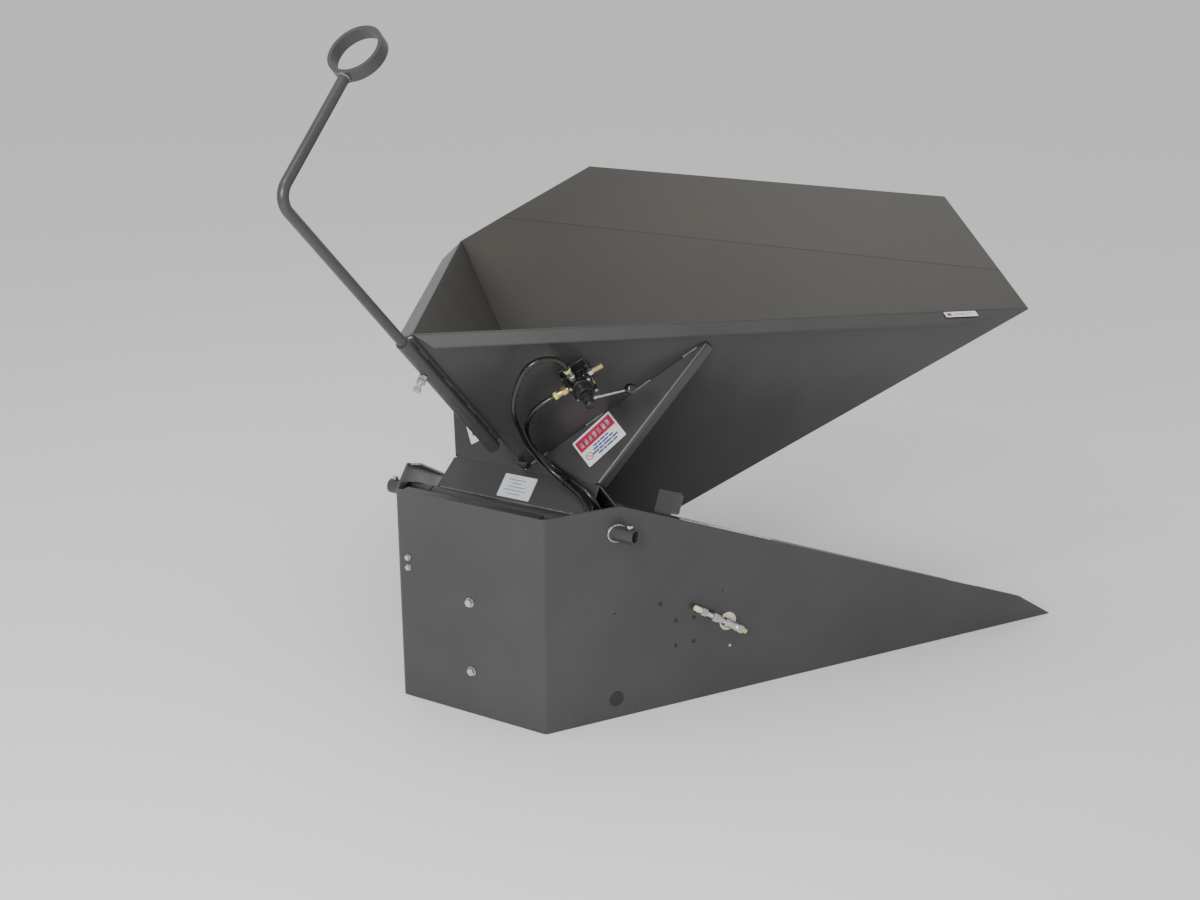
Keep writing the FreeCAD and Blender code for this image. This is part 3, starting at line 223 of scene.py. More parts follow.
def dress_cad_nodes():
    """The procedural finish of each node's slot, and a small rounding on the cut edges."""
    for name, obj in NODES.items():
        finish = SLOT_MATERIALS[obj.material_slots[0].name.split(".")[0]]
        obj.material_slots[0].material = COAT_WARM if name in WARM_NODES else finish
        if name in PLAIN_EDGES:
            continue
        weld = obj.modifiers.new("weld", "WELD")
        weld.merge_threshold = 0.00002
        edge = obj.modifiers.new("edge", "BEVEL")
        edge.width = 0.0009
        edge.segments = 2
        edge.limit_method = "ANGLE"
        edge.angle_limit = math.radians(40)
        shading = obj.modifiers.new("shading", "WEIGHTED_NORMAL")
        shading.weight = 100


# ------------------------------------------------------------------ pieces

class Piece:
    """A mesh built up from turned, prismatic and tubular parts in the rest pose."""

    def __init__(self, name, materials):
        self.name, self.materials = name, materials
        self.mesh = bmesh.new()

    def strip(self, first, second, slot, closed=True):
        count = len(first)
        for i in range(count if closed else count - 1):
            j = (i + 1) % count
            self.mesh.faces.new((first[i], first[j], second[j], second[i])).material_index = slot

    def turned(self, place, profile, slot=0, sides=48):
        """Rings of (distance along Z, radius); a ring of no radius closes the end."""
        rings = []
        for distance, radius in profile:
            turns = [2 * math.pi * k / sides for k in range(sides if radius else 1)]
            points = [place @ Vector((radius * math.cos(t), radius * math.sin(t), distance)) for t in turns]
            rings.append([self.mesh.verts.new(p) for p in points])
        for first, second in zip(rings, rings[1:]):
            if len(first) == len(second):
                self.strip(first, second, slot)
                continue
            tip, ring = (first[0], second) if len(first) == 1 else (second[0], first)
            for i in range(len(ring)):
                self.mesh.faces.new((ring[i], ring[(i + 1) % len(ring)], tip)).material_index = slot
        return self

    def hexagon(self, place, flats, low, high, slot=0):
        corner, edge = flats / math.sqrt(3), 0.06 * flats
        return self.turned(place, [(low, 0), (low, corner - edge), (low + edge / 2, corner),
                                   (high - edge / 2, corner), (high, corner - edge), (high, 0)], slot, 6)

    def tube(self, points, radii, slot=0, sides=20, closed=False):
        """A round tube through the points; radii is one number or one for each point."""
        points = [Vector(p) for p in points]
        radii = radii if hasattr(radii, "__len__") else [radii] * len(points)
        count = len(points)
        rings, across = [], None
        for i, point in enumerate(points):
            before = points[i - 1] if closed or i else point
            after = points[(i + 1) % count] if closed or i < count - 1 else point
            ahead = (after - before).normalized()
            across = across or ahead.orthogonal()
            across = (across - ahead * across.dot(ahead)).normalized()
            side = ahead.cross(across)
            rings.append([self.mesh.verts.new(point + radii[i] * (across * math.cos(t) + side * math.sin(t)))
                          for t in (2 * math.pi * k / sides for k in range(sides))])
        for first, second in zip(rings, rings[1:]):
            self.strip(first, second, slot)
        if closed:
            self.join_loop(rings[-1], rings[0], slot)
        else:
            for ring in (rings[0], rings[-1]):
                self.mesh.faces.new(ring).material_index = slot
        return self

    def join_loop(self, last, first, slot):
        """Closes a loop of tube, matching the ring's nearest corners."""
        count = len(first)
        shift = min(range(count), key=lambda s: (last[0].co - first[s].co).length)
        self.strip(last, first[shift:] + first[:shift], slot)

    def plate(self, place, outline, low, high, slot=0):
        """A flat outline of (x, y) points, between two heights of the frame."""
        rings = [[self.mesh.verts.new(place @ Vector((x, y, z))) for x, y in outline] for z in (low, high)]
        self.strip(rings[0], rings[1], slot)
        for ring in rings:
            self.mesh.faces.new(ring).material_index = slot
        return self

    def done(self, body, slot, replaced=(), smooth_angle=38, rounding=0.0, ride=True):
        bmesh.ops.recalc_face_normals(self.mesh, faces=self.mesh.faces)
        data = bpy.data.meshes.new(self.name)
        self.mesh.to_mesh(data)
        self.mesh.free()
        data.shade_smooth()
        data.set_sharp_from_angle(angle=math.radians(smooth_angle))
        obj = bpy.data.objects.new(self.name, data)
        bpy.context.scene.collection.objects.link(obj)
        for finish in self.materials:
            data.materials.append(finish)
        if rounding:
            edge = obj.modifiers.new("edge", "BEVEL")
            edge.width, edge.segments = rounding, 2
            edge.limit_method, edge.angle_limit = "ANGLE", math.radians(40)
        if ride:
            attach(obj, body)
        if replaced:
            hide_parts(*replaced)
        return obj


def rounded(width, height, radius, centre=(0, 0), steps=5):
    """A rectangle's outline with rounded corners."""
    points = []
    for quarter, (sx, sy) in enumerate(((1, 1), (-1, 1), (-1, -1), (1, -1))):
        for k in range(steps + 1):
            t = math.pi / 2 * (quarter + k / steps)
            points.append((centre[0] + sx * (width / 2 - radius) + radius * math.cos(t),
                           centre[1] + sy * (height / 2 - radius) + radius * math.sin(t)))
    return points


# ------------------------------------------------------------------- hoses

HOSE_RADIUS = 0.00635
SUPPLY_ON_CRADLE = [
    (0.1782, 0.2222, 0.703), (0.1782, 0.2222, 0.727), (0.169, 0.212, 0.751), (0.153, 0.196, 0.764),
    (0.135, 0.177, 0.763), (0.120, 0.159, 0.747), (0.099, 0.134, 0.712), (0.085, 0.116, 0.669),
    (0.078, 0.108, 0.616), (0.072, 0.101, 0.560), (0.074, 0.099, 0.514), (0.091, 0.092, 0.481),
    (0.119, 0.080, 0.466), (0.151, 0.066, 0.462), (0.184, 0.051, 0.461),
]
SUPPLY_IN_BASE = [
    (0.208, -0.004, 0.468), (0.222, -0.029, 0.443), (0.225, -0.039, 0.404), (0.226, -0.034, 0.362),
    (0.232, -0.014, 0.322), (0.240, 0.020, 0.290), (0.243, 0.064, 0.266), (0.242, 0.112, 0.254),
    (0.240, 0.160, 0.238), (0.245, 0.207, 0.218), (0.270, 0.249, 0.198), (0.312, 0.273, 0.182),
]
LIFT_ON_CRADLE = [
    (0.1351, 0.1791, 0.641), (0.1096, 0.1536, 0.641), (0.089, 0.137, 0.621), (0.073, 0.124, 0.588),
    (0.062, 0.115, 0.542), (0.060, 0.113, 0.500), (0.080, 0.108, 0.467), (0.114, 0.096, 0.456),
    (0.152, 0.082, 0.464), (0.190, 0.065, 0.465),
]
LIFT_IN_BASE = [
    (0.211, 0.020, 0.476), (0.220, 0.031, 0.444), (0.221, 0.041, 0.407), (0.214, 0.036, 0.376),
    (0.206, 0.020, 0.338), (0.193, -0.002, 0.306), (0.177, -0.020, 0.279), (0.160, -0.042, 0.261),
]


def spline_points(name, points):
    """The smooth line that a hose follows: a NURBS spline with the route as its control points."""
    curve = bpy.data.curves.new(name, "CURVE")
    curve.dimensions = "3D"
    spline = curve.splines.new("NURBS")
    spline.points.add(len(points) - 1)
    for control, point in zip(spline.points, points):
        control.co = (*point, 1)
    spline.order_u = 3
    spline.use_endpoint_u = True
    spline.resolution_u = 10
    obj = bpy.data.objects.new(name, curve)
    mesh = bpy.data.meshes.new_from_object(obj)
    line = [v.co.copy() for v in mesh.vertices]
    bpy.data.objects.remove(obj)
    bpy.data.curves.remove(curve)
    bpy.data.meshes.remove(mesh)
    return line


def hose(node, points):
    line = spline_points(node + "_line", points)
    piece = Piece(node + "_tube", [HOSE]).tube(line, HOSE_RADIUS, sides=24)
    obj = piece.done("cradle", "black_hose", [node], ride=False)
    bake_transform(obj)
    return line


def hoses():
    inlet = PANEL @ Vector(TEE_BRANCH)
    outward = PANEL.to_3x3() @ UP
    end = Vector((0.150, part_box("lift_port_block")[1].y, 0.250))
    straight = 0.036
    supply = [CRADLE @ Vector(p) for p in SUPPLY_ON_CRADLE] + [Vector(p) for p in SUPPLY_IN_BASE]
    supply += [inlet - outward * straight, inlet]
    lift = [CRADLE @ Vector(p) for p in LIFT_ON_CRADLE] + [Vector(p) for p in LIFT_IN_BASE]
    lift += [end + Vector((0, straight, 0)), end]
    lines = hose("supply_hose", supply), hose("lift_hose", lift)
    hose_tie(*lines)


def hose_tie(supply, lift):
    """The strap that holds the two hoses together beside the deck."""
    to_cradle = CRADLE.inverted()

    def crossing(line):
        on_cradle = [to_cradle @ p for p in line[:len(line) // 2]]
        i = next(i for i, p in enumerate(on_cradle) if p.z < 0.48 and p.x > 0.130)
        return line[i], (line[i + 1] - line[i - 1]).normalized()

    (first, ahead), (second, other) = crossing(supply), crossing(lift)
    ahead = (ahead + other).normalized()
    across = second - first
    across = across - ahead * across.dot(ahead)
    reach, across = across.length, across.normalized()
    place = axes(across, ahead.cross(across), first)
    gap, width, thickness = 0.0002, 0.0046, 0.0012
    ring = []
    for centre, start in ((reach, -90), (0, 90)):
        for k in range(13):
            t = math.radians(start + 15 * k)
            ring.append((centre, math.cos(t), math.sin(t)))
    piece = Piece("hose_tie_strap", [PLASTIC])
    loops = []
    for radius, z in ((HOSE_RADIUS + gap, -width / 2), (HOSE_RADIUS + gap + thickness, -width / 2),
                      (HOSE_RADIUS + gap + thickness, width / 2), (HOSE_RADIUS + gap, width / 2)):
        loops.append([piece.mesh.verts.new(place @ Vector((c + radius * x, radius * y, z)))
                      for c, x, y in ring])
    for a, b in zip(loops, loops[1:] + loops[:1]):
        piece.strip(a, b, 0)
    top = HOSE_RADIUS + gap
    head = place @ Matrix.Translation((reach / 2, top, 0)) @ Matrix.Rotation(-math.pi / 2, 4, "X")
    piece.plate(head, rounded(0.007, 0.006, 0.001), 0.0, 0.0045)
    piece.plate(head, rounded(0.0012, 0.0036, 0.0004, (0, 0.004)), 0.001, 0.014)
    piece.done("cradle", "black_plastic")


# -------------------------------------------------------------- air spring

def bellows():
    """Three convolutions of fabric-reinforced rubber with girdle hoops between."""
    start = Vector((0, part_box("air_spring_rear_plate")[1].y, 0.182))
    end = CRADLE @ Vector((0, DECK_FRONT - 0.008, 0.182))
    radius = (end.z - start.z) / (1 - math.cos(REST_TILT))
    bend = Vector((0, end.y - radius * math.sin(REST_TILT), start.z))
    straight, arc = bend.y - start.y, radius * REST_TILT
    steps, waves, waist, swell = 96, 3, 0.074, 0.0215

    def centre(share):
        run = share * (straight + arc)
        if run <= straight:
            return start + Vector((0, run, 0))
        turn = (run - straight) / radius
        return bend + Vector((0, radius * math.sin(turn), radius * (1 - math.cos(turn))))

    def size(share):
        return waist + swell * abs(math.sin(waves * math.pi * share)) ** 0.62

    shares = [k / steps for k in range(steps + 1)]
    piece = Piece("air_spring_convolutions", [RUBBER, ZINC])
    piece.tube([centre(s) for s in shares], [size(s) for s in shares], sides=72)
    for k in range(1, waves):
        middle, ahead = centre(k / waves), centre(k / waves + 0.01) - centre(k / waves - 0.01)
        place = along(middle, ahead)
        hoop = [place @ Vector((0.0785 * math.cos(t), 0.0785 * math.sin(t), 0))
                for t in (2 * math.pi * i / 72 for i in range(72))]
        piece.tube(hoop, 0.0042, 1, 12, closed=True)
    obj = piece.done("base", "black_rubber", ["air_spring_bellows"], ride=False)
    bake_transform(obj)


# -------------------------------------------------------------- hand valve

def valve():
    """The ribbed valve body on the right wall, its lever and ball, and its fittings."""
    low, high = span("valve_body", WALL)
    centre_x, centre_y = (low.x + high.x) / 2, (low.y + high.y) / 2
    place = WALL @ Matrix.Translation((centre_x, centre_y, 0))
    piece = Piece("valve_ribbed_body", [PLASTIC, LIME])
    piece.plate(place, rounded(0.054, 0.054, 0.008), low.z, low.z + 0.007)
    piece.turned(place, [
        (0.030, 0), (0.030, 0.0262), (0.0355, 0.0262), (0.0362, 0.0255), (0.0364, 0.0222), (0.0392, 0.0222),
        (0.0394, 0.0255), (0.0401, 0.0262), (0.0452, 0.0262), (0.0459, 0.0255), (0.0461, 0.0222),
        (0.0489, 0.0222), (0.0491, 0.0250), (0.0498, 0.0257), (0.0545, 0.0257), (0.056, 0.0243),
        (0.0563, 0.0200), (0.0605, 0.0200), (0.0608, 0.0182), (0.0632, 0.0182), (0.0635, 0.0200),
        (0.0690, 0.0198), (0.0693, 0.0176), (0.0712, 0.0176), (0.0715, 0.0190), (0.0733, 0.0188),
        (0.074, 0.0180), (0.074, 0)], sides=64)
    for sx in (-1, 1):
        for sy in (-1, 1):
            post = place @ Matrix.Translation((sx * 0.021, sy * 0.021, 0))
            piece.turned(post, [(0.030, 0), (0.030, 0.0052), (0.0554, 0.0052), (0.056, 0.0046),
                                (0.056, 0)], sides=24)
    boss = place @ Matrix.Translation((-0.0225, 0.008, 0.041)) @ Matrix.Rotation(-math.pi / 2, 4, "Y")
    piece.turned(boss, [(-0.004, 0), (-0.004, 0.0100), (0.0045, 0.0100), (0.0045, 0)], sides=32)
    boss = place @ Matrix.Translation((-0.006, 0.0225, 0.041)) @ Matrix.Rotation(-math.pi / 2, 4, "X")
    piece.turned(boss, [(-0.004, 0), (-0.004, 0.0100), (0.0045, 0.0100), (0.0045, 0)], sides=32)
    boss = place @ Matrix.Translation((0.0225, 0.018, 0.041)) @ Matrix.Rotation(math.pi / 2, 4, "Y")
    piece.turned(boss, [(-0.008, 0), (-0.008, 0.0080), (0.0045, 0.0080), (0.0045, 0)], sides=32)
    strip = place @ Matrix.Translation((0.0262, -0.006, 0.043)) @ Matrix.Rotation(math.pi / 2, 4, "Y")
    piece.plate(strip, rounded(0.016, 0.007, 0.001), -0.001, 0.0008, 1)
    piece.done("cradle", "black_plastic", ["valve_body"], rounding=0.0004)

    hub = Piece("valve_lever_hub", [PLASTIC, ZINC])
    hub.turned(place, [
        (0.0745, 0), (0.0745, 0.0122), (0.0752, 0.0128), (0.0775, 0.0128), (0.0780, 0.0112), (0.0862, 0.0108),
        (0.0868, 0.0118), (0.0890, 0.0118), (0.0896, 0.0110), (0.1000, 0.0106), (0.1008, 0.0114),
        (0.1040, 0.0114), (0.1060, 0.0100), (0.1070, 0.0074), (0.1070, 0)], sides=48)
    drop, reach = math.radians(26), 0.093
    direction = place.to_3x3() @ Vector((math.cos(drop), -math.sin(drop), 0))
    lever = along(place @ Vector((0, 0, 0.085)), direction)
    hub.turned(lever, [
        (0, 0), (0, 0.0025), (0.0125, 0.0025), (0.0128, 0.0040), (0.0170, 0.0040), (0.0175, 0.0031),
        (0.050, 0.0026), (reach - 0.016, 0.0022), (reach - 0.004, 0.0022), (reach - 0.004, 0)], 1, 24)
    hub.done("valve_handle", "zinc_steel", ["valve_lever"])
    ball = 0.0127
    arc = [(reach - ball * math.cos(t), ball * math.sin(t))
           for t in (math.radians(20 + 5 * k) for k in range(32))]
    profile = [(arc[0][0] - 0.0006, 0), (arc[0][0] - 0.0006, arc[0][1] - 0.0004)] + arc + [(reach + ball, 0)]
    Piece("valve_lever_ball", [GLOSS]).turned(lever, profile, sides=56).done(
        "valve_handle", "black_gloss", ["lever_knob"])
    valve_fittings()


def valve_fittings():
    """Two push fittings and the exhaust muffler, sized from the CAD nodes that they replace."""
    low, high = span("supply_fitting", WALL)
    middle = ((low.x + high.x) / 2, low.y, (low.z + high.z) / 2)
    place = WALL @ Matrix.Translation(middle) @ Matrix.Rotation(-math.pi / 2, 4, "X")
    tall = high.y - low.y
    piece = Piece("supply_push_fitting", [ZINC, LIME, PLASTIC])
    piece.turned(place, [(0, 0), (0, 0.0062), (0.002, 0.0062), (0.002, 0)])
    piece.hexagon(place, 0.0168, 0.002, 0.014)
    piece.turned(place, [(0.014, 0), (0.014, 0.0070), (0.020, 0.0076), (0.030, 0.0078), (0.031, 0.0070),
                         (0.031, 0)])
    piece.turned(place, [(0.031, 0), (0.031, 0.0078), (0.0325, 0.0080), (0.037, 0.0080), (0.038, 0.0074),
                         (0.038, 0)], 1)
    piece.turned(place, [(0.038, 0), (0.038, 0.0071), (tall - 0.001, 0.0071), (tall, 0.0066), (tall, 0)], 2)
    piece.done("cradle", "zinc_steel", ["supply_fitting"])

    low, high = span("lift_fitting", WALL)
    middle = (high.x, (low.y + high.y) / 2, (low.z + high.z) / 2)
    place = WALL @ Matrix.Translation(middle) @ Matrix.Rotation(-math.pi / 2, 4, "Y")
    wide = high.x - low.x
    piece = Piece("lift_push_fitting", [BRASS, LIME, PLASTIC])
    piece.turned(place, [(0, 0), (0, 0.0064), (0.002, 0.0064), (0.002, 0)])
    piece.hexagon(place, 0.0168, 0.002, 0.014)
    piece.turned(place, [(0.014, 0), (0.014, 0.0071), (0.024, 0.0077), (0.025, 0.0070), (0.025, 0)])
    piece.turned(place, [(0.025, 0), (0.025, 0.0078), (0.0265, 0.0080), (0.032, 0.0080), (0.033, 0.0074),
                         (0.033, 0)], 1)
    piece.turned(place, [(0.033, 0), (0.033, 0.0071), (wide - 0.001, 0.0071), (wide, 0.0066), (wide, 0)], 2)
    piece.done("cradle", "brass", ["lift_fitting"])

    low, high = span("exhaust_muffler", WALL)
    middle = (low.x, (low.y + high.y) / 2, (low.z + high.z) / 2)
    place = WALL @ Matrix.Translation(middle) @ Matrix.Rotation(math.pi / 2, 4, "Y")
    wide = high.x - low.x
    piece = Piece("muffler_element", [ZINC, BRONZE])
    piece.hexagon(place, 0.0128, 0, 0.009)
    piece.turned(place, [(0.009, 0), (0.009, 0.0050), (0.011, 0.0055), (wide - 0.002, 0.0055),
                         (wide - 0.0006, 0.0051), (wide, 0.0042), (wide, 0)], 1, 32)
    piece.done("cradle", "brass", ["exhaust_muffler"])


# --------------------------------------------------------------- air inlet

def inlet():
    """Plug, grommet, tee, nipple and coupler on the right base panel."""
    low, high = span("inlet_grommet", PANEL)
    centre = PANEL @ Matrix.Translation(((low.x + high.x) / 2, (low.y + high.y) / 2, 0))
    piece = Piece("grommet_ring", [CREAM])
    piece.turned(centre, [
        (-0.0078, 0.0082), (-0.0080, 0.0200), (-0.0072, 0.0210), (-0.0052, 0.0210), (-0.0050, 0.0165),
        (0.0, 0.0165), (0.0001, 0.0210), (0.0014, 0.0209), (0.0026, 0.0198), (0.0030, 0.0180),
        (0.0029, 0.0100), (0.0022, 0.0082), (-0.0078, 0.0082)])
    piece.done("base", "cream_rubber", ["inlet_grommet"])

    run = PANEL @ axes((0, 0, 1), (-math.sin(INLET_DIP), -math.cos(INLET_DIP), 0), INLET_START)
    piece = Piece("tee_body", [ZINC])
    piece.turned(run, [
        (0.088, 0), (0.088, 0.0092), (0.0895, 0.0099), (0.0945, 0.0099), (0.0955, 0.0088),
        (0.1205, 0.0088), (0.1215, 0.0099), (0.1265, 0.0099), (0.128, 0.0092), (0.128, 0)])
    piece.turned(centre, [(-0.025, 0), (-0.025, 0.0072), (-0.024, 0.0079), (0.010, 0.0079), (0.014, 0.0072),
                          (0.014, 0)])
    piece.done("base", "zinc_steel", ["inlet_tee"])
    piece = Piece("nipple_chain", [ZINC, TAPE, BRASS])
    piece.turned(run, [(0, 0), (0, 0.0052), (0.001, 0.0060), (0.006, 0.0060), (0.007, 0.0064),
                       (0.016, 0.0065), (0.018, 0.0058), (0.018, 0)], 1)
    piece.hexagon(run, 0.0158, 0.018, 0.033)
    threads = []
    for k in range(10):
        threads += [(0.033 + 0.0019 * k, 0.0056), (0.03395 + 0.0019 * k, 0.0063)]
    piece.turned(run, [(0.033, 0)] + threads + [(0.052, 0.0056), (0.052, 0)])
    piece.hexagon(run, 0.0178, 0.052, 0.068)
    piece.turned(run, [(0.068, 0), (0.068, 0.0074), (0.070, 0.0080), (0.076, 0.0080), (0.077, 0.0064),
                       (0.088, 0.0064), (0.088, 0)])
    piece.done("base", "zinc_steel", ["inlet_nipple"])
    piece = Piece("coupler_body", [ZINC, LIME])
    piece.hexagon(run, 0.0168, 0.128, 0.143)
    piece.turned(run, [(0.143, 0), (0.143, 0.0054), (0.1445, 0.0055), (0.1535, 0.0055), (0.155, 0.0048),
                       (0.155, 0)], 1)
    piece.done("base", "zinc_steel", ["inlet_coupler"])

    low, high = span("panel_plug", PANEL)
    centre = PANEL @ Matrix.Translation(((low.x + high.x) / 2, (low.y + high.y) / 2, 0))
    piece = Piece("plug_dome", [PLASTIC])
    piece.turned(centre, [
        (-0.008, 0), (-0.008, 0.0146), (-0.007, 0.0155), (0, 0.0155), (0.0001, 0.0170), (0.0008, 0.0169),
        (0.0017, 0.0158), (0.0020, 0.0135), (0.0017, 0.0125), (0.0014, 0.0100), (0.0013, 0)])
    piece.done("base", "black_plastic", ["panel_plug"])
    panel_screws()


def panel_screws():
    """Pan heads with a driver recess, and the small rivet."""
    piece = Piece("screw_heads", [PLASTIC, ZINC])
    for spot in SCREWS:
        place = PANEL @ Matrix.Translation((*spot, 0))
        piece.turned(place, [(-0.005, 0), (-0.005, 0.0023), (0, 0.0023), (0.0001, 0.0040), (0.0010, 0.0039),
                             (0.0019, 0.0030), (0.0024, 0.0018), (0.0014, 0.0015), (0.0012, 0)], sides=24)
    place = PANEL @ Matrix.Translation((*RIVET, 0))
    piece.turned(place, [(-0.005, 0), (-0.005, 0.0023), (0, 0.0023), (0.0001, 0.0035), (0.0006, 0.0033),
                         (0.0012, 0.0018), (0.0012, 0)], 1, 24)
    piece.done("base", "black_plastic", ["panel_screws"])


def port_block():
    """The manifold on the rear panel that the lift hose ends in."""
    low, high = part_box("lift_port_block")
    piece = Piece("port_manifold", [ZINC, LIME])
    middle = (low + high) / 2
    place = axes((1, 0, 0), (0, 0, -1), (middle.x, low.y, middle.z))
    piece.plate(place, rounded(0.036, 0.036, 0.004), 0, 0.020)
    piece.hexagon(place, 0.0158, 0.020, 0.028)
    piece.turned(place, [(0.028, 0), (0.028, 0.0080), (0.0325, 0.0080), (0.034, 0.0072), (0.034, 0)], 1)
    piece.done("base", "zinc_steel", ["lift_port_block"], rounding=0.0006)


def grease_fitting():
    place = along(CRADLE @ Vector((-0.012, -0.01900 * ROOT_HALF, 0.426 + 0.01900 * ROOT_HALF)),
                  CRADLE.to_3x3() @ Vector((0, -1, 1)))
    piece = Piece("grease_ball_nipple", [BRASS])
    piece.hexagon(place, 0.0079, -0.001, 0.0040)
    piece.turned(place, [(0.004, 0), (0.004, 0.0024), (0.0062, 0.0020), (0.0075, 0.0016), (0.0085, 0.0024),
                         (0.0096, 0.0026), (0.0106, 0.0020), (0.0110, 0.0010), (0.0110, 0)], sides=24)
    piece.done("cradle", "brass", ["grease_nipple"])


# ------------------------------------------------------------------- welds

def ripple(k, size):
    """Radius of a weld bead's k-th ring: overlapping ripples with small changes."""
    return size * (1 + 0.16 * math.sin(1.9 * k) + 0.07 * math.sin(0.53 * k + 1.3))


def bead(piece, points, size, slot=0, closed=False):
    piece.tube(points, [ripple(k, size) for k in range(len(points))], slot, 10, closed)


def run_between(first, second, pitch=0.0022):
    count = max(4, int((second - first).length / pitch))
    return [first.lerp(second, k / count) for k in range(count + 1)]


def welds():
    """Coated seams on the cradle, ring and tab, and the bare welds round the pivot's sleeves."""
    piece = Piece("cradle_weld_beads", [COAT_WELD])

    def seam(first, second, size):
        for side in (CRADLE, CRADLE @ MIRROR):
            bead(piece, run_between(side @ Vector(first), side @ Vector(second)), size)

    rise = math.tan(ARM_SLOPE)
    for start, end in ((0.012, 0.045), (0.118, 0.150), (0.212, 0.240), (0.300, 0.326)):
        seam((start, 0.1015 + start, DECK_TOP + (start + 0.005) * rise + 0.0012),
             (end, 0.1015 + end, DECK_TOP + (end + 0.005) * rise + 0.0012), 0.0026)
    seam((0.0, 0.0190, DECK_TOP + 0.0005), (0.190, 0.0190, DECK_TOP + 0.0005), 0.0030)
    seam((0.003, 0.1015, 0.4335), (0.0195, 0.1015, 0.4650), 0.0018)
    for low in (0.585, 0.690, 0.795, 0.900):
        seam((0.0062, 0.0925, low), (0.0062, 0.0925, low + 0.032), 0.0020)
    piece.done("cradle", "grey_coat", smooth_angle=80)

    piece = Piece("ring_weld_bead", [COAT_WELD])
    loop = [CRADLE @ Vector((0.0110 * math.cos(t), 0.3464, 1.432 + 0.0110 * math.sin(t)))
            for t in (2 * math.pi * k / 44 for k in range(44))]
    bead(piece, loop, 0.0026, closed=True)
    piece.done("ring_arm", "grey_coat", smooth_angle=80)

    piece = Piece("sleeve_weld_beads", [BARE_WELD, COAT_WELD])
    radius = 0.0178
    for side in (1, -1):
        loop = []
        for k in range(60):
            t = 2 * math.pi * k / 60
            y, z = radius * math.cos(t), TILT_AXIS.z + radius * math.sin(t)
            loop.append(Vector((side * (0.1905 + (y + 0.146) * math.tan(FLARE)), y, z)))
        bead(piece, loop, 0.0031, 0, closed=True)
    tab = axes((1, 0, 0), (0, math.cos(TAB_TILT), math.sin(TAB_TILT)), (0.285, 0.126, 0.398))
    first, second = (tab @ Vector((x, 0.0415, 0.0045)) for x in (0.044, 0.058))
    bead(piece, run_between(first, second), 0.0020, 1)
    piece.done("base", "grey_coat", smooth_angle=80)


# ------------------------------------------------------------------ labels

def sticker(name, node, body, place, size, film, inks, marks):
    """A film with rounded corners and printed marks; the frame's X and Y run from its low corner.

    marks holds (ink number, outline) with outlines in millimetres.
    """
    width, height = size
    piece = Piece(name, [film] + inks)
    piece.plate(place, rounded(width, height, 0.0025, (width / 2, height / 2)), 0, 0.0004)
    for ink, outline in marks:
        face = [piece.mesh.verts.new(place @ Vector((x / 1000, y / 1000, 0.00048))) for x, y in outline]
        piece.mesh.faces.new(face).material_index = ink
    return piece.done(body, "label_stock", node)


def bar(x, y, width, height):
    return [(x, y), (x + width, y), (x + width, y + height), (x, y + height)]


def ring_marks(ink, centre, outer, inner, steps=28):
    marks = []
    for k in range(steps):
        a, b = 2 * math.pi * k / steps, 2 * math.pi * (k + 1) / steps
        marks.append((ink, [(centre[0] + r * math.cos(t), centre[1] + r * math.sin(t))
                            for r, t in ((outer, a), (outer, b), (inner, b), (inner, a))]))
    return marks


def caution_marks():
    """A magenta band with plain white dashes, a striped paragraph and a no-entry sign."""
    marks = [(1, bar(4, 40, 99, 29))]
    marks += [(3, bar(11 + 12.6 * k, 47, 7.5, 15)) for k in range(7)]
    for row, (start, length) in enumerate(((35, 46), (30, 60), (22, 78), (35, 58))):
        y = 31.5 - 7.5 * row
        x = start
        for k, share in enumerate((0.26, 0.17, 0.31, 0.22)):
            marks.append((2, bar(x, y, share * length - 1.6, 4.2)))
            x += share * length
    marks += ring_marks(1, (15, 21), 9.0, 7.2)
    marks.append((1, [(9.6, 25.2), (10.9, 26.5), (20.4, 16.8), (19.1, 15.5)]))
    return marks


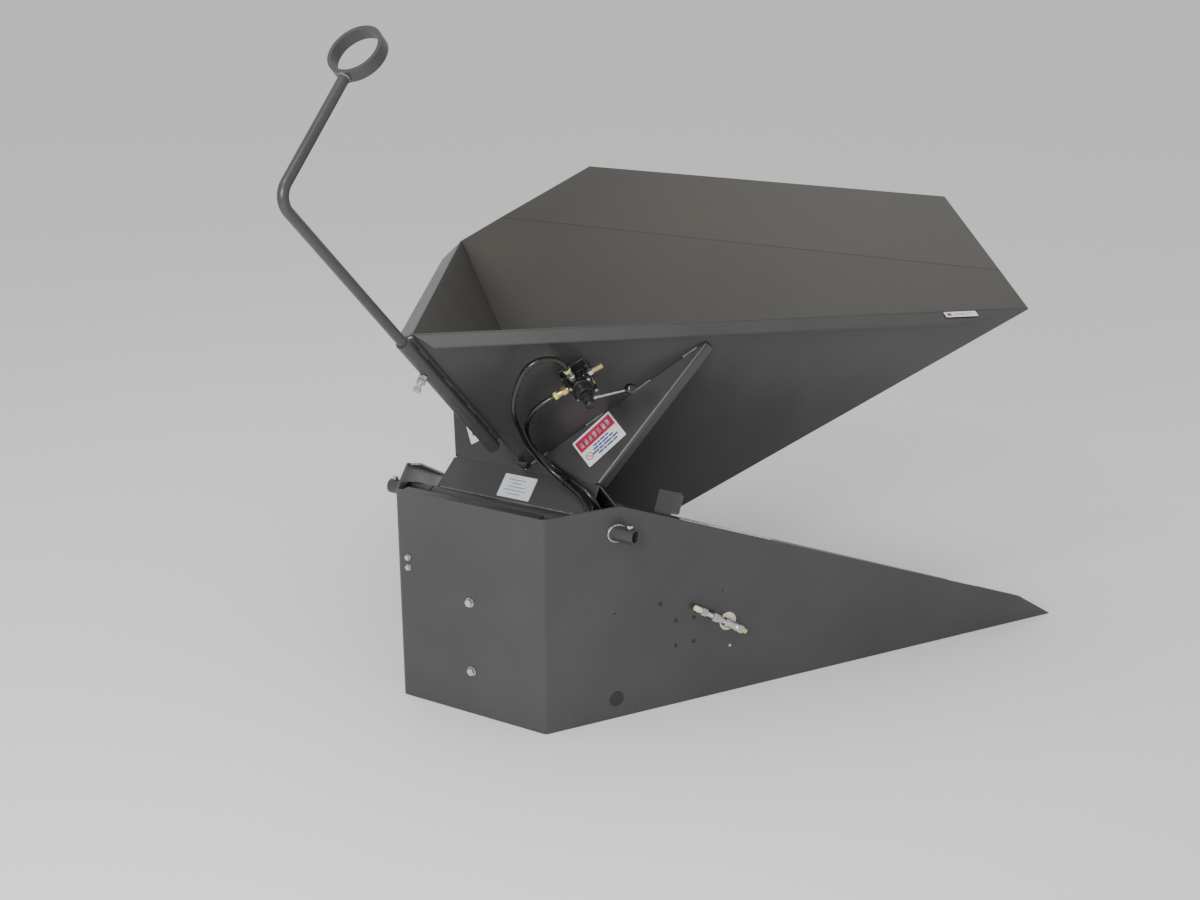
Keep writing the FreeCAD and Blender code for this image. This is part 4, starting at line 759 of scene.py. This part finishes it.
def labels():
    """Two caution signs on the arms, the deck's plate, and the strips on the flange and the rim."""
    length, width, turn = 0.107, 0.074, math.radians(54)
    offset = Matrix.Translation((-length / 2, -width / 2, 0))
    for name, side in (("caution_sign_right", 1), ("caution_sign_left", -1)):
        place = ARM @ Matrix.Translation((side * 0.159, 0.100, 0)) @ Matrix.Rotation(side * turn, 4, "Z")
        sticker(name, ["caution_labels"], "cradle", place @ offset, (length, width), WHITE_FILM,
                [MAGENTA, BLUE, WHITE_FILM], caution_marks())

    deck = CRADLE @ Matrix.Translation((-0.042, 0.027, DECK_TOP))
    marks = []
    for row, (x, long) in enumerate(((14, 44), (26, 24), (18, 44), (10, 58), (22, 34))):
        marks.append((1, bar(x, 43 - 8.5 * row, long, 2.4)))
    sticker("rating_plate_film", ["rating_label"], "cradle", deck, (0.084, 0.056), BLUE_FILM, [GREY_INK],
            marks)

    run, drop = FLANGE_LOW[0] - FLANGE_HIGH[0], FLANGE_HIGH[1] - FLANGE_LOW[1]
    slope = PANEL.to_3x3() @ Vector((run, -drop, 0))
    top = axes(slope, -(PANEL.to_3x3() @ UP), PANEL @ Vector((*FLANGE_HIGH, 0)))
    for name, x, y, long, wide in (("flange_strip_rear", 0.160, 0.004, 0.246, 0.015),
                                   ("flange_strip_front", 0.941, 0.001, 0.096, 0.007)):
        place = top @ Matrix.Translation((x, y, 0))
        marks = [(1, bar(1000 * long * k / 9 + 4, 300 * wide, 1000 * long / 14, 400 * wide))
                 for k in range(9)]
        sticker(name, ["flange_labels"], "base", place, (long, wide), WHITE_FILM, [GREY_INK],
                marks[:3] + marks[6:])

    wall_top = span("cradle_wall_right", WALL)[1].y
    down = WALL.to_3x3() @ Vector((1.165, -(wall_top - 0.012), 0))
    rim = axes(down, WALL.to_3x3() @ UP, WALL @ Vector((0, 0.968, 0)))
    normal = rim.to_3x3() @ UP
    rim = Matrix.Translation(-0.0004 * normal) @ rim @ Matrix.Translation((1.261, 0.004, 0))
    rim = rim @ Matrix.Translation((0, 0.017, 0.0004)) @ Matrix.Rotation(math.pi, 4, "X")
    marks = [(1, bar(6, 4, 12, 9)), (2, bar(24, 9, 30, 2)), (2, bar(24, 5, 42, 2)), (2, bar(60, 10, 18, 2))]
    sticker("rim_strip", ["rim_label"], "cradle", rim, (0.089, 0.017), WHITE_FILM, [MAGENTA, GREY_INK], marks)


# ------------------------------------------------------------------- stage

def area_light(name, place, target, size, power, colour=(1, 1, 1)):
    data = bpy.data.lights.new(name, "AREA")
    data.shape = "SQUARE"
    data.size = size
    data.energy = power
    data.color = colour
    lamp = bpy.data.objects.new(name, data)
    lamp.location = place
    lamp.rotation_mode = "QUATERNION"
    lamp.rotation_quaternion = (Vector(target) - Vector(place)).to_track_quat("-Z", "Y")
    bpy.context.scene.collection.objects.link(lamp)


def studio():
    """Floor, lights, and the camera fitted to the photo."""
    mesh = bmesh.new()
    rings = []
    for radius in (0, 2, 6, 20, 80):
        turns = range(64) if radius else range(1)
        rings.append([mesh.verts.new((radius * math.cos(k * math.pi / 32),
                                      radius * math.sin(k * math.pi / 32), -0.0005)) for k in turns])
    for k in range(64):
        mesh.faces.new((rings[0][0], rings[1][k], rings[1][(k + 1) % 64]))
        for inner, outer in zip(rings[1:], rings[2:]):
            mesh.faces.new((inner[k], outer[k], outer[(k + 1) % 64], inner[(k + 1) % 64]))
    data = bpy.data.meshes.new("studio_floor")
    mesh.to_mesh(data)
    mesh.free()
    data.materials.append(FLOOR)
    ground = bpy.data.objects.new("studio_floor", data)
    bpy.context.scene.collection.objects.link(ground)

    world = bpy.data.worlds.new("studio")
    world.use_nodes = True
    world.node_tree.nodes["Background"].inputs["Color"].default_value = (0.93, 0.94, 0.95, 1)
    world.node_tree.nodes["Background"].inputs["Strength"].default_value = 0.80
    bpy.context.scene.world = world
    area_light("key", (0.9, -3.3, 2.0), (0.1, 0.1, 0.6), 1.1, 92, (1.0, 0.985, 0.97))
    area_light("fold_glint", (0.2, -1.9, 3.4), (0.3, 0.1, 0.7), 0.4, 22)
    area_light("top", (-0.8, 0.9, 4.2), (0, 0.3, 0.5), 2.4, 30)

    data = bpy.data.cameras.new("photo_angle")
    data.sensor_fit = "HORIZONTAL"
    data.sensor_width = 36
    data.lens = 49.291
    data.shift_x, data.shift_y = -0.0236, -0.0115
    data.clip_end = 300
    camera = bpy.data.objects.new("photo_angle", data)
    camera.location = (1.965, -2.746, 1.637)
    camera.rotation_euler = (math.radians(90 - 17.212), 0, math.radians(31.142))
    bpy.context.scene.collection.objects.link(camera)
    bpy.context.scene.camera = camera


studio()
hoses()
dress_cad_nodes()
bellows()
valve()
inlet()
port_block()
grease_fitting()
welds()
labels()

bpy.context.view_layer.update()
